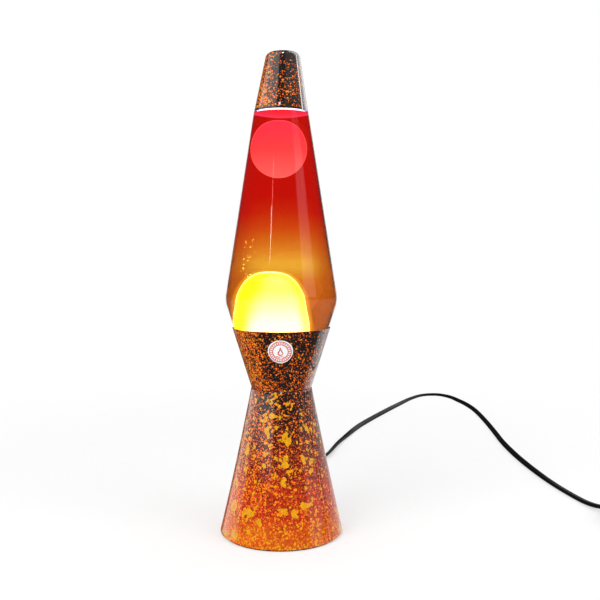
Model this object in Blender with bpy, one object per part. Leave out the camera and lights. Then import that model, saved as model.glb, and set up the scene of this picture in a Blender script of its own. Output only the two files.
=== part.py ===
"""Lava lamp, 400 mm tall: a spun metal base and cup, a sealed glass bottle of liquid and wax that stands in
the cup over a reflector bulb, a loose decorative cap, and a mains cord with an inline switch and a plug.

Metres, +Z up. The origin is the centre of the lamp's foot, on the surface that it stands on, +Y is the back,
where the cord leaves. Each sub-part is one closed solid.
"""

from math import atan2, cos, degrees, hypot, pi, radians, sin, sqrt, tan

import bmesh
import bpy
import numpy as np
from mathutils import Matrix, Vector

MM = 0.001

# Clearance kept between two pieces that touch, and the facets of round pieces.
GAP = 0.3 * MM
ROUND_STEPS = 32
MIDDLE_STEPS = 24
SMALL_STEPS = 10
CORNER_STEPS = 2

# Lower cone: a spun shell whose side is slightly hollow, open below, with a flange turned in at the waist.
CONE_TOP_Z = 122.9 * MM
CONE_BOTTOM_RADIUS = 52.3 * MM
CONE_TOP_RADIUS = 25.5 * MM
CONE_HOLLOW = 0.72 * MM
CONE_WALL = 0.8 * MM
WAIST_OPENING_RADIUS = 20.3 * MM
WAIST_ROUND = 0.8 * MM

# Foot ring under the recessed base plate; it holds the cone's rim just off the surface below.
RIM_LIFT = 1.3 * MM
FOOT_HEIGHT = 2.7 * MM
FOOT_WIDTH = 6.0 * MM
FOOT_INSET = 2.0 * MM
PLATE_THICKNESS = 1.2 * MM
VENT_COUNT = 8
VENT_RADIUS = 3.0 * MM
VENT_CIRCLE_RADIUS = 30.0 * MM

# Lugs that the base plate is screwed to.
LUG_COUNT = 3
LUG_WIDTH = 12.0 * MM
LUG_DEPTH = 15.0 * MM
LUG_SCREW_INSET = 4.5 * MM
LUG_HEIGHT = 10.0 * MM
LUG_THICKNESS = 1.2 * MM
LUG_WALL_CLEARANCE = 0.8 * MM

# Upper cup.
CUP_HEIGHT = 50.5 * MM
CUP_BOTTOM_RADIUS = 25.2 * MM
CUP_TOP_RADIUS = 41.1 * MM
CUP_WALL = 0.7 * MM

# Bottle: its lower taper is parallel to the cup's wall, its upper taper runs up to the cap.
BOTTLE_CLEARANCE = 0.35 * MM
BOTTLE_WALL = 2.5 * MM
BOTTLE_LIFT_OVER_CUP_FLOOR = 17.8 * MM
BOTTLE_HEEL_ROUND = 5.0 * MM
SHOULDER_OVER_CUP_FLOOR = 73.4 * MM
BOTTLE_SHOULDER_ROUND = 25.0 * MM
NECK_SEAT_OVER_CUP_FLOOR = 228.4 * MM
NECK_SEAT_RADIUS = 22.65 * MM
NECK_RISE = 14.0 * MM
FINISH_HEIGHT = 10.0 * MM
FINISH_RADIUS = 12.6 * MM
MOUTH_RADIUS = 9.0 * MM
CLOSURE_THICKNESS = 0.4 * MM
CLOSURE_SKIRT = 5.0 * MM
CLOSURE_OVERHANG = 0.9 * MM
LINER_THICKNESS = 0.8 * MM

# Liquid and wax.
LIQUID_UNDER_NECK_SEAT = 1.8 * MM
WAX_CLEARANCE = 0.4 * MM
BLOB_RADIUS = 17.4 * MM
BLOB_HALF_HEIGHT = 24.4 * MM
BLOB_X = -2.1 * MM
BLOB_UNDER_NECK_SEAT = 30.2 * MM
BLOB_TRAVEL = 75.0 * MM
POOL_OVER_CUP_FLOOR = 52.8 * MM
DOME_RADIUS = 23.7 * MM
DOME_HALF_HEIGHT = 49.0 * MM
DOME_X = -6.1 * MM
DOME_OVER_CUP_FLOOR = 48.8 * MM
ROOM_OVERLAP = 4.0 * MM
DOME_STEPS = 6
WIRE_COIL_RADIUS = 19.0 * MM
WIRE_RADIUS = 1.1 * MM

# Decorative cap.
CAP_HEIGHT = 48.1 * MM
CAP_BOTTOM_RADIUS = 22.25 * MM
CAP_TOP_RADIUS = 13.6 * MM
CAP_ROUND = 5.0 * MM
CAP_WALL = 0.6 * MM

# Sticker on the front of the cup.
BADGE_RADIUS = 10.0 * MM
BADGE_OVER_CUP_FLOOR = 34.3 * MM
BADGE_THICKNESS = 0.4 * MM
BADGE_RINGS = 3

# Bulb: a 39 mm reflector bulb with a 14 mm screw cap.
BULB_OVER_HOLDER_FLOOR = 3.5 * MM
BULB_LENGTH = 66.0 * MM
BULB_RADIUS = 19.5 * MM
BULB_NECK_RADIUS = 6.1 * MM
BULB_GLASS_WALL = 0.7 * MM
SCREW_CAP_RADIUS = 6.9 * MM
SCREW_CAP_WALL = 0.4 * MM
SCREW_CAP_HEIGHT = 21.0 * MM
CONTACT_RADIUS = 2.2 * MM
CONTACT_HEIGHT = 1.7 * MM

# Lampholder, the bracket that carries it and the wiring inside.
HOLDER_RADIUS = 14.0 * MM
HOLDER_HEIGHT = 33.5 * MM
HOLDER_FLOOR = 3.0 * MM
THREAD_WALL = 0.5 * MM
TERMINAL_X = 9.4 * MM
BRACKET_UNDER_WAIST = 61.7 * MM
BRACKET_THICKNESS = 1.2 * MM
BRACKET_WIDTH = 14.0 * MM
BRACKET_HALF_SPAN = 19.0 * MM
BRACKET_FOOT = 11.0 * MM
NIPPLE_RADIUS = 5.0 * MM
NIPPLE_BORE_RADIUS = 3.6 * MM
NIPPLE_LENGTH = 11.0 * MM
NUT_HEIGHT = 3.0 * MM
NUT_RADIUS = 7.6 * MM
CORE_RADIUS = 1.0 * MM
CORE_X = 1.9 * MM

# Screws: thread radius, head radius and head height.
M2 = (1.0 * MM, 1.9 * MM, 1.4 * MM)
M3 = (1.5 * MM, 2.7 * MM, 1.8 * MM)
WAIST_SCREW_COUNT = 3
WAIST_SCREW_LENGTH = 5.0 * MM
WAIST_NUT_RADIUS = 2.3 * MM
WAIST_NUT_HEIGHT = 1.6 * MM

# Mains cord, its strain relief, and the route that it takes over the surface that the lamp stands on.
CORD_RADIUS = 3.1 * MM
CORD_REST_Z = 3.2 * MM
CORD_POINT_SPACING = 18.6 * MM
CORD_SMOOTHNESS = 2
CORD_END_GAP = 0.8 * MM
GLAND_Z = 14.0 * MM
GLAND_LENGTH = 30.0 * MM
GLAND_FLANGE_RADIUS = 6.2 * MM
GLAND_SHANK_RADIUS = 3.9 * MM
CORD_ROUTE = (
    (2.0, 118.0, 19.5),
    (8.0, 142.0, 10.5),
    (17.0, 168.0, 4.4),
    (30.0, 200.0, 3.2),
    (47.5, 241.0, 3.2),
    (65.0, 305.0, 3.2),
    (89.5, 374.5, 3.2),
    (112.6, 427.0, 3.2),
    (137.2, 478.0, 3.2),
    (164.3, 533.0, 3.2),
    (190.0, 583.0, 3.2),
    (213.0, 613.5, 3.2),
    (237.5, 618.5, 3.2),
    (254.0, 598.0, 3.2),
    (262.5, 564.0, 3.2),
    (268.5, 529.0, 3.2),
    (271.5, 482.5, 3.2),
    (270.0, 414.0, 3.2),
    (266.5, 346.0, 3.2),
    (263.8, 303.0, 3.2),
    (263.0, 261.5, 3.2),
    (264.0, 219.0, 3.2),
    (266.2, 182.0, 3.2),
    (269.2, 148.0, 3.2),
    (272.8, 120.0, 3.2),
    (277.0, 96.0, 3.2),
    (282.5, 71.0, 3.5),
    (289.4, 47.0, 5.8),
)

# Inline switch, coil, tie and plug, one after the other past the end of the route.
SWITCH_ENTRY = (297.0, 23.0)
SWITCH_HEADING_DEG = -72.0
SWITCH_LENGTH = 58.0 * MM
SWITCH_WIDTH = 24.0 * MM
SWITCH_END_WIDTH = 13.0 * MM
SWITCH_HALF_HEIGHT = 8.4 * MM
SWITCH_WALL = 1.6 * MM
ROCKER_HALF_LENGTH = 6.6 * MM
ROCKER_WIDTH = 9.4 * MM
ROCKER_RISE = 3.0 * MM
ROCKER_DEPTH = 3.2 * MM
ROCKER_TILT_DEG = 8.0
ROCKER_CLEARANCE = 0.5 * MM
SWITCH_TO_COIL = 38.0 * MM
COIL_TURN_RADIUS = 37.0 * MM
COIL_INNER_RADIUS = 24.8 * MM
COIL_OUTER_RADIUS = 40.4 * MM
COIL_HEIGHT = 6.6 * MM
TIE_WIDTH = 7.0 * MM
TIE_THICKNESS = 1.0 * MM
TIE_CLEARANCE = 0.8 * MM
TAIL_ROUTE_DEG_RADIUS_Z = ((-44.0, 30.5, 10.2), (-30.0, 31.5, 10.6), (-12.0, 36.0, 10.6), (4.0, 44.0, 9.8))
PLUG_ENTRY = (407.5, -27.0)
PLUG_HEADING_DEG = 84.0
PLUG_BOOT_LENGTH = 20.0 * MM
PLUG_BODY_LENGTH = 36.0 * MM
PLUG_BODY_WIDTH = 26.4 * MM
PLUG_FACE_WIDTH = 25.0 * MM
PLUG_HEIGHT = 13.7 * MM
PIN_RADIUS = 2.0 * MM
PIN_LENGTH = 19.0 * MM
PIN_SPACING = 18.6 * MM

# What follows from the sizes above.
PLATE_BOTTOM_Z = FOOT_HEIGHT + GAP
PLATE_TOP_Z = PLATE_BOTTOM_Z + PLATE_THICKNESS
CUP_BOTTOM_Z = CONE_TOP_Z + GAP
CUP_TOP_Z = CUP_BOTTOM_Z + CUP_HEIGHT
CUP_SLOPE = (CUP_TOP_RADIUS - CUP_BOTTOM_RADIUS) / CUP_HEIGHT
CUP_LEAN = sqrt(1 + CUP_SLOPE**2)
BOTTLE_BOTTOM_Z = CUP_BOTTOM_Z + BOTTLE_LIFT_OVER_CUP_FLOOR
BOTTLE_SHOULDER_Z = CUP_BOTTOM_Z + SHOULDER_OVER_CUP_FLOOR
NECK_SEAT_Z = CUP_BOTTOM_Z + NECK_SEAT_OVER_CUP_FLOOR
LIQUID_LEVEL_Z = NECK_SEAT_Z - LIQUID_UNDER_NECK_SEAT
BLOB_Z = NECK_SEAT_Z - BLOB_UNDER_NECK_SEAT
POOL_TOP_Z = CUP_BOTTOM_Z + POOL_OVER_CUP_FLOOR
DOME_Z = CUP_BOTTOM_Z + DOME_OVER_CUP_FLOOR
BADGE_Z = CUP_BOTTOM_Z + BADGE_OVER_CUP_FLOOR
CAP_BOTTOM_Z = NECK_SEAT_Z + GAP
TOTAL_HEIGHT = CAP_BOTTOM_Z + CAP_HEIGHT
CAP_SLOPE = (CAP_BOTTOM_RADIUS - CAP_TOP_RADIUS) / CAP_HEIGHT
CAP_LEAN = sqrt(1 + CAP_SLOPE**2)
BRACKET_FOOT_Z = PLATE_TOP_Z + GAP
BRACKET_TOP_Z = CONE_TOP_Z - BRACKET_UNDER_WAIST
HOLDER_BOTTOM_Z = BRACKET_TOP_Z + GAP
HOLDER_TOP_Z = HOLDER_BOTTOM_Z + HOLDER_HEIGHT
BULB_TIP_Z = HOLDER_BOTTOM_Z + HOLDER_FLOOR + BULB_OVER_HOLDER_FLOOR
WAIST_SCREW_CIRCLE = WAIST_OPENING_RADIUS + M2[1]

# Finishes: colour, roughness, metallic.
FINISHES = {
    "painted_shell": ((0.16, 0.045, 0.02), 0.22, 0.0),
    "black_foam": ((0.02, 0.02, 0.02), 0.9, 0.0),
    "black_plate": ((0.03, 0.03, 0.03), 0.5, 0.0),
    "steel": ((0.6, 0.6, 0.62), 0.35, 1.0),
    "brass": ((0.8, 0.6, 0.28), 0.3, 1.0),
    "glass": ((0.95, 0.97, 0.97), 0.03, 0.0),
    "liquid": ((0.9, 0.12, 0.01), 0.05, 0.0),
    "wax_yellow": ((1.0, 0.86, 0.25), 0.4, 0.0),
    "wax_pink": ((0.93, 0.12, 0.1), 0.4, 0.0),
    "white_label": ((0.9, 0.9, 0.88), 0.4, 0.0),
    "black_plastic": ((0.02, 0.02, 0.022), 0.4, 0.0),
    "white_plastic": ((0.85, 0.84, 0.8), 0.5, 0.0),
    "brown_wire": ((0.2, 0.09, 0.03), 0.5, 0.0),
    "blue_wire": ((0.03, 0.12, 0.5), 0.5, 0.0),
}


# Materials, meshes and modifiers.


def clear_scene():
    for obj in list(bpy.data.objects):
        bpy.data.objects.remove(obj, do_unlink=True)


def finish(name):
    material = bpy.data.materials.get(name)
    if material:
        return material
    colour, roughness, metallic = FINISHES[name]
    material = bpy.data.materials.new(name)
    material.use_nodes = True
    shader = material.node_tree.nodes["Principled BSDF"]
    shader.inputs["Base Color"].default_value = (*colour, 1.0)
    shader.inputs["Roughness"].default_value = roughness
    shader.inputs["Metallic"].default_value = metallic
    material.diffuse_color = (*colour, 1.0)
    return material


def add_object(name, data, finish_name, parent=None):
    obj = bpy.data.objects.new(name, data)
    bpy.context.scene.collection.objects.link(obj)
    if finish_name:
        data.materials.append(finish(finish_name))
    obj.parent = parent
    return obj


def add_empty(name, location, turn_deg):
    empty = bpy.data.objects.new(name, None)
    bpy.context.scene.collection.objects.link(empty)
    empty.location = location
    empty.rotation_euler = (0, 0, radians(turn_deg))
    return empty


def shade(mesh, sharp_deg=35):
    mesh.shade_smooth()
    mesh.set_sharp_from_angle(angle=radians(sharp_deg))


def mesh_from(name, bm):
    mesh = bpy.data.meshes.new(name)
    bmesh.ops.recalc_face_normals(bm, faces=bm.faces)
    bm.to_mesh(mesh)
    bm.free()
    shade(mesh)
    return mesh


def outline(corners, closed):
    """Turns corners (x, y, rounding radius) into points, each rounded corner as a short arc."""
    points = []
    count = len(corners)
    for index, (x, y, rounding) in enumerate(corners):
        here = Vector((x, y))
        at_end = index in (0, count - 1) and not closed
        if rounding <= 0 or at_end:
            points.append(here)
            continue
        before = Vector(corners[index - 1][:2]) - here
        after = Vector(corners[(index + 1) % count][:2]) - here
        half = before.angle(after) / 2
        reach = min(rounding / tan(half), 0.49 * before.length, 0.49 * after.length)
        centre = here + (before.normalized() + after.normalized()).normalized() * reach / cos(half)
        start = here + before.normalized() * reach - centre
        end = here + after.normalized() * reach - centre
        sweep = start.angle_signed(end)
        for step in range(CORNER_STEPS + 1):
            turn = Matrix.Rotation(-sweep * step / CORNER_STEPS, 2)
            points.append(centre + turn @ start)
    return points


def turned(name, corners, finish_name, closed=False, steps=ROUND_STEPS, parent=None):
    """A solid of revolution about Z. Its outline of (radius, z, rounding) runs down the outer side."""
    points = outline(corners, closed)
    mesh = bpy.data.meshes.new(name)
    edges = [(i, i + 1) for i in range(len(points) - 1)]
    if closed:
        edges.append((len(points) - 1, 0))
    mesh.from_pydata([(p.x, 0, p.y) for p in points], edges, [])
    obj = add_object(name, mesh, finish_name, parent)
    spin = obj.modifiers.new("Turn", "SCREW")
    spin.steps = steps
    spin.render_steps = steps
    spin.use_merge_vertices = True
    spin.merge_threshold = 0.000001
    spin.use_smooth_shade = True
    return obj


def extruded(name, points, depth, finish_name, plane="XZ", parent=None):
    """A flat outline pushed both ways by half of depth, square to its plane."""
    bm = bmesh.new()
    side = -depth / 2
    place = {"XZ": lambda a, b: (a, side, b), "YZ": lambda a, b: (side, a, b), "XY": lambda a, b: (a, b, side)}
    push = {"XZ": (0, depth, 0), "YZ": (depth, 0, 0), "XY": (0, 0, depth)}
    face = bm.faces.new([bm.verts.new(place[plane](a, b)) for a, b in points])
    grown = bmesh.ops.extrude_face_region(bm, geom=[face])["geom"]
    verts = [item for item in grown if isinstance(item, bmesh.types.BMVert)]
    bmesh.ops.translate(bm, verts=verts, vec=push[plane])
    return add_object(name, mesh_from(name, bm), finish_name, parent)


def prism(name, sides, radius, height, finish_name=None, parent=None):
    """An upright prism centred on the origin."""
    bm = bmesh.new()
    bmesh.ops.create_cone(bm, cap_ends=True, segments=sides, radius1=radius, radius2=radius, depth=height)
    return add_object(name, mesh_from(name, bm), finish_name, parent)


def block(name, size, finish_name=None, parent=None):
    bm = bmesh.new()
    bmesh.ops.create_cube(bm, size=1.0, matrix=Matrix.Diagonal((*size, 1.0)))
    return add_object(name, mesh_from(name, bm), finish_name, parent)


def hide_cutter(cutter):
    cutter.hide_render = True
    cutter.display_type = "WIRE"


def boolean(obj, other, operation="DIFFERENCE"):
    hide_cutter(other)
    modifier = obj.modifiers.new(other.name, "BOOLEAN")
    modifier.operation = operation
    modifier.solver = "EXACT"
    modifier.object = other


def bevel(obj, width, segments=2):
    modifier = obj.modifiers.new("Bevel", "BEVEL")
    modifier.width = width
    modifier.segments = segments
    modifier.limit_method = "ANGLE"


def screw(name, kind, length, finish_name, parent=None):
    """A pan-head screw that stands on its head's underside, thread down."""
    thread, head, height = kind
    corners = [(0, height, 0), (head, height, height / 2), (head, 0, 0), (thread, 0, 0)]
    corners += [(thread, -length, 0), (0, -length, 0)]
    return turned(name, corners, finish_name, steps=SMALL_STEPS, parent=parent)


def hex_nut(name, radius, hole, height, finish_name, steps=SMALL_STEPS):
    nut = prism(name, 6, radius, height, finish_name)
    boolean(nut, prism(name + "_hole", steps, hole, 2 * height, parent=nut))
    return nut


def place(obj, x, y, z):
    obj.location = (x, y, z)
    return obj


def around(count, radius, first_deg=0.0):
    """Points evenly spaced on a circle, each with its angle."""
    for index in range(count):
        angle = radians(first_deg) + 2 * pi * index / count
        yield index + 1, radius * cos(angle), radius * sin(angle), angle


def smooth_route(points, spacing):
    """Points at an even spacing along the smooth curve (Catmull-Rom) through the given points."""
    points = np.array(points)
    ends = np.vstack([2 * points[0] - points[1], points, 2 * points[-1] - points[-2]])
    step = np.linspace(0, 1, 24, endpoint=False)[:, None]
    pieces = []
    for a, b, c, d in zip(ends[:-3], ends[1:-2], ends[2:-1], ends[3:]):
        cubic = -a + 3 * b - 3 * c + d
        square = 2 * a - 5 * b + 4 * c - d
        pieces.append(0.5 * (2 * b + (c - a) * step + square * step**2 + cubic * step**3))
    dense = np.vstack([*pieces, points[-1:]])
    along = np.concatenate([[0], np.cumsum(np.linalg.norm(np.diff(dense, axis=0), axis=1))])
    count = max(2, round(along[-1] / spacing) + 1)
    even = np.linspace(0, along[-1], count)
    return np.stack([np.interp(even, along, dense[:, axis]) for axis in range(3)], axis=1)


def tube(name, points, radius, finish_name, spacing):
    """A round cord, its ends capped, along a smooth route."""
    path = smooth_route(points, spacing)
    curve = bpy.data.curves.new(name, "CURVE")
    curve.dimensions = "3D"
    curve.bevel_depth = radius
    curve.bevel_resolution = CORD_SMOOTHNESS
    curve.use_fill_caps = True
    spline = curve.splines.new("POLY")
    spline.points.add(len(path) - 1)
    for point, (x, y, z) in zip(spline.points, path):
        point.co = (x, y, z, 1)
    return add_object(name, curve, finish_name)


# Shapes that several pieces share.


def cone_radius(z, inward=0.0):
    """Outer radius of the lower cone at a height: a straight taper, slightly hollow at its middle."""
    t = z / CONE_TOP_Z
    straight = CONE_BOTTOM_RADIUS + (CONE_TOP_RADIUS - CONE_BOTTOM_RADIUS) * t
    return straight - 4 * CONE_HOLLOW * t * (1 - t) - inward


def cup_radius(z, inward=0.0):
    """Outer radius of the cup at a height, or of a surface that lies this far inside its wall."""
    return CUP_BOTTOM_RADIUS + CUP_SLOPE * (z - CUP_BOTTOM_Z) - inward * CUP_LEAN


def bottle_low_radius(z, inward=0.0):
    return cup_radius(z, CUP_WALL + BOTTLE_CLEARANCE + inward)


def bottle_high_slope():
    corner = bottle_low_radius(BOTTLE_SHOULDER_Z)
    return (NECK_SEAT_RADIUS - corner) / (NECK_SEAT_Z - BOTTLE_SHOULDER_Z)


def bottle_high_radius(z, inward=0.0):
    slope = bottle_high_slope()
    return NECK_SEAT_RADIUS + slope * (z - NECK_SEAT_Z) - inward * sqrt(1 + slope**2)


def shoulder_z(inward=0.0):
    """Height at which the lower and the upper taper of a wall this far inside the bottle's surface meet."""
    low = bottle_low_radius(0, inward)
    high = bottle_high_radius(0, inward)
    return (high - low) / (CUP_SLOPE - bottle_high_slope())


def cap_radius(z, inward=0.0):
    return CAP_BOTTOM_RADIUS - CAP_SLOPE * (z - CAP_BOTTOM_Z) - inward * CAP_LEAN


def dome(name, radius, half_height, z, low):
    """Upper half of an ellipsoid centred at z, carried straight down to low."""
    rises = [radians(90 - 90 * step / DOME_STEPS) for step in range(1, DOME_STEPS + 1)]
    corners = [(0, z + half_height, 0)]
    corners += [(radius * cos(rise), z + half_height * sin(rise), 0) for rise in rises]
    corners += [(radius, low, 0), (0, low, 0)]
    return turned(name, corners, None, steps=MIDDLE_STEPS)


def ellipsoid(name, radius, half_height, finish_name=None):
    bm = bmesh.new()
    bmesh.ops.create_uvsphere(bm, u_segments=24, v_segments=12, radius=1.0)
    bmesh.ops.scale(bm, verts=bm.verts, vec=(radius, radius, half_height))
    return add_object(name, mesh_from(name, bm), finish_name)


# Base.


def build_foot_and_plate():
    outer = CONE_BOTTOM_RADIUS - FOOT_INSET
    inner = outer - FOOT_WIDTH
    corners = [(outer, FOOT_HEIGHT, 0), (outer, 0, 0), (inner, 0, 0), (inner, FOOT_HEIGHT, 0)]
    turned("foot_ring", corners, "black_foam", closed=True)
    edge = cone_radius(PLATE_TOP_Z, CONE_WALL + 2 * GAP)
    corners = [(0, PLATE_TOP_Z, 0), (edge, PLATE_TOP_Z, 0), (edge, PLATE_BOTTOM_Z, 0), (0, PLATE_BOTTOM_Z, 0)]
    plate = turned("base_plate", corners, "black_plate")
    plate.rotation_euler = (0, 0, 2 * pi / ROUND_STEPS / 3)
    holes = [(x, y, VENT_RADIUS) for _, x, y, _ in around(VENT_COUNT, VENT_CIRCLE_RADIUS, 22.5)]
    holes += [(x, y, M3[0] + GAP) for _, x, y, _ in around(LUG_COUNT, lug_screw_radius(), -90.0)]
    holes += [(x, 0, M3[0] + GAP) for x in bracket_screw_places()]
    holes += [(*clip_screw_place(), M2[0] + GAP)]
    for index, (x, y, radius) in enumerate(holes):
        cutter = prism(f"plate_hole_{index}", SMALL_STEPS, radius, 4 * PLATE_THICKNESS)
        boolean(plate, place(cutter, x, y, PLATE_TOP_Z))


def build_lower_cone():
    top = CONE_TOP_Z
    heights = [RIM_LIFT + (top - RIM_LIFT) * share for share in (0.67, 0.33)]
    corners = [(WAIST_OPENING_RADIUS, top, 0), (cone_radius(top), top, WAIST_ROUND)]
    corners += [(cone_radius(z), z, 0) for z in heights]
    corners += [(cone_radius(RIM_LIFT), RIM_LIFT, 0)]
    corners += [(cone_radius(RIM_LIFT, CONE_WALL), RIM_LIFT, 0)]
    corners += [(cone_radius(z, CONE_WALL), z, 0) for z in reversed(heights)]
    corners += [(cone_radius(top - CONE_WALL, CONE_WALL), top - CONE_WALL, 0)]
    corners += [(WAIST_OPENING_RADIUS, top - CONE_WALL, 0)]
    cone = turned("lower_cone", corners, "painted_shell", closed=True)
    gland_hole = prism("gland_hole", MIDDLE_STEPS, GLAND_SHANK_RADIUS + GAP, 12 * CONE_WALL)
    gland_hole.location = gland_point(0)
    gland_hole.rotation_euler = gland_rotation()
    boolean(cone, gland_hole)
    cut_waist_holes(cone, top - CONE_WALL / 2)


def cut_waist_holes(shell, z):
    for index, x, y, _ in around(WAIST_SCREW_COUNT, WAIST_SCREW_CIRCLE, 90.0):
        hole = prism(f"{shell.name}_screw_hole_{index}", SMALL_STEPS, M2[0] + GAP, 6 * CONE_WALL)
        boolean(shell, place(hole, x, y, z))


def lug_screw_radius():
    return cone_radius(PLATE_TOP_Z + GAP, CONE_WALL + LUG_WALL_CLEARANCE) - LUG_DEPTH + LUG_SCREW_INSET


def build_lugs():
    """L-shaped lugs inside the cone's lower edge, and the screws that hold the plate up against them."""
    low = PLATE_TOP_Z + GAP
    high = low + LUG_HEIGHT
    inward = CONE_WALL + LUG_WALL_CLEARANCE
    root = cone_radius(low, inward)
    tip = cone_radius(high, inward)
    inner = root - LUG_DEPTH
    section = [(inner, low), (root, low), (tip, high), (tip - LUG_THICKNESS, high)]
    section += [(root - LUG_THICKNESS - (root - tip) * LUG_THICKNESS / LUG_HEIGHT, low + LUG_THICKNESS)]
    section += [(inner, low + LUG_THICKNESS)]
    for index, x, y, angle in around(LUG_COUNT, lug_screw_radius(), -90.0):
        lug = extruded(f"plate_lug_{index}", section, LUG_WIDTH, "steel")
        lug.rotation_euler = (0, 0, angle)
        hole = prism(f"lug_hole_{index}", SMALL_STEPS, M3[0] + GAP, 6 * LUG_THICKNESS)
        boolean(lug, place(hole, x, y, low))
        fastener = screw(f"plate_screw_{index}", M3, PLATE_THICKNESS + 3 * LUG_THICKNESS, "steel")
        fastener.rotation_euler = (pi, 0, 0)
        place(fastener, x, y, PLATE_BOTTOM_Z - GAP)


# Waist fasteners and cup.


def build_cup():
    bottom = CUP_BOTTOM_Z
    floor = bottom + CUP_WALL
    top = CUP_TOP_Z
    corners = [(cup_radius(top), top, CUP_WALL / 3), (cup_radius(bottom), bottom, WAIST_ROUND)]
    corners += [(WAIST_OPENING_RADIUS, bottom, 0), (WAIST_OPENING_RADIUS, floor, 0)]
    corners += [(cup_radius(floor, CUP_WALL), floor, 0), (cup_radius(top, CUP_WALL), top, CUP_WALL / 3)]
    cup = turned("upper_cup", corners, "painted_shell", closed=True)
    cut_waist_holes(cup, bottom + CUP_WALL / 2)
    for index, x, y, angle in around(WAIST_SCREW_COUNT, WAIST_SCREW_CIRCLE, 90.0):
        place(screw(f"waist_screw_{index}", M2, WAIST_SCREW_LENGTH, "steel"), x, y, floor + GAP)
        nut = hex_nut(f"waist_nut_{index}", WAIST_NUT_RADIUS, M2[0] + GAP, WAIST_NUT_HEIGHT, "steel")
        nut.rotation_euler = (0, 0, angle)
        place(nut, x, y, CONE_TOP_Z - CONE_WALL - GAP - WAIST_NUT_HEIGHT / 2)


def build_badge():
    """A round sticker that follows the cup's cone: a flat disc wrapped on, then given its thickness."""
    bm = bmesh.new()
    centre = bm.verts.new(wrap_on_cup(0, 0))
    rings = []
    for ring in range(1, BADGE_RINGS + 1):
        radius = BADGE_RADIUS * ring / BADGE_RINGS
        rings.append([bm.verts.new(wrap_on_cup(x, y)) for _, x, y, _ in around(18, radius)])
    for here, after in zip(rings[0], rings[0][1:] + rings[0][:1]):
        bm.faces.new((centre, here, after))
    for inner, outer in zip(rings, rings[1:]):
        turned_on = inner[1:] + inner[:1], outer[1:] + outer[:1]
        for a, b, c, d in zip(inner, outer, turned_on[1], turned_on[0]):
            bm.faces.new((a, b, c, d))
    mesh = bpy.data.meshes.new("badge")
    bm.to_mesh(mesh)
    bm.free()
    badge = add_object("badge", mesh, "white_label")
    solid = badge.modifiers.new("Thickness", "SOLIDIFY")
    solid.thickness = BADGE_THICKNESS
    solid.offset = 1.0


def wrap_on_cup(across, up):
    """Place on the front of the cup, just off its surface, of a point of the flat sticker."""
    z = BADGE_Z + up / CUP_LEAN
    radius = cup_radius(z, -GAP)
    angle = across / radius
    return (radius * sin(angle), -radius * cos(angle), z)


# Bottle, liquid and wax.


def build_bottle():
    bottom = BOTTLE_BOTTOM_Z
    seat = NECK_SEAT_Z
    neck_base = seat + NECK_RISE
    lip = neck_base + FINISH_HEIGHT
    inside = cap_radius(neck_base, CAP_WALL + BOTTLE_CLEARANCE + GAP)
    step = cap_radius(seat + GAP, CAP_WALL + BOTTLE_CLEARANCE + GAP)
    shoulder = shoulder_z()
    inner_shoulder = shoulder_z(BOTTLE_WALL)
    corners = [(MOUTH_RADIUS, lip, 0), (FINISH_RADIUS, lip, 0.8 * MM), (FINISH_RADIUS, neck_base + 2 * MM, 1.5 * MM)]
    corners += [(inside, neck_base, 2.5 * MM), (step, seat, 0), (NECK_SEAT_RADIUS, seat, 0.4 * MM)]
    corners += [(bottle_low_radius(shoulder), shoulder, BOTTLE_SHOULDER_ROUND)]
    corners += [(bottle_low_radius(bottom), bottom, BOTTLE_HEEL_ROUND), (0, bottom, 0)]
    corners += [(0, bottom + BOTTLE_WALL, 0)]
    corners += [(bottle_low_radius(bottom + BOTTLE_WALL, BOTTLE_WALL), bottom + BOTTLE_WALL, 0)]
    corners += [(bottle_low_radius(inner_shoulder, BOTTLE_WALL), inner_shoulder, BOTTLE_SHOULDER_ROUND)]
    corners += [(bottle_high_radius(seat, BOTTLE_WALL), seat, 0)]
    corners += [(inside - BOTTLE_WALL, neck_base - 2 * MM, 0), (MOUTH_RADIUS, neck_base + 1 * MM, 0)]
    turned("glass_bottle", corners, "glass", closed=True)


def build_closure():
    """The crimped metal closure over the bottle's mouth, and the liner that seals it."""
    lip = NECK_SEAT_Z + NECK_RISE + FINISH_HEIGHT
    liner_top = lip + GAP + LINER_THICKNESS
    edge = FINISH_RADIUS
    corners = [(0, liner_top, 0), (edge, liner_top, 0), (edge, lip + GAP, 0), (0, lip + GAP, 0)]
    turned("closure_liner", corners, "black_plastic", steps=MIDDLE_STEPS)
    under = liner_top + GAP
    top = under + CLOSURE_THICKNESS
    skirt = top - CLOSURE_SKIRT
    inner = edge + GAP
    corners = [(0, top, 0), (inner + CLOSURE_THICKNESS, top, CLOSURE_OVERHANG)]
    corners += [(inner + CLOSURE_OVERHANG, skirt, 0), (inner + CLOSURE_OVERHANG - CLOSURE_THICKNESS, skirt, 0)]
    corners += [(inner, under, 0), (0, under, 0)]
    turned("bottle_closure", corners, "steel", steps=MIDDLE_STEPS)


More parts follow.
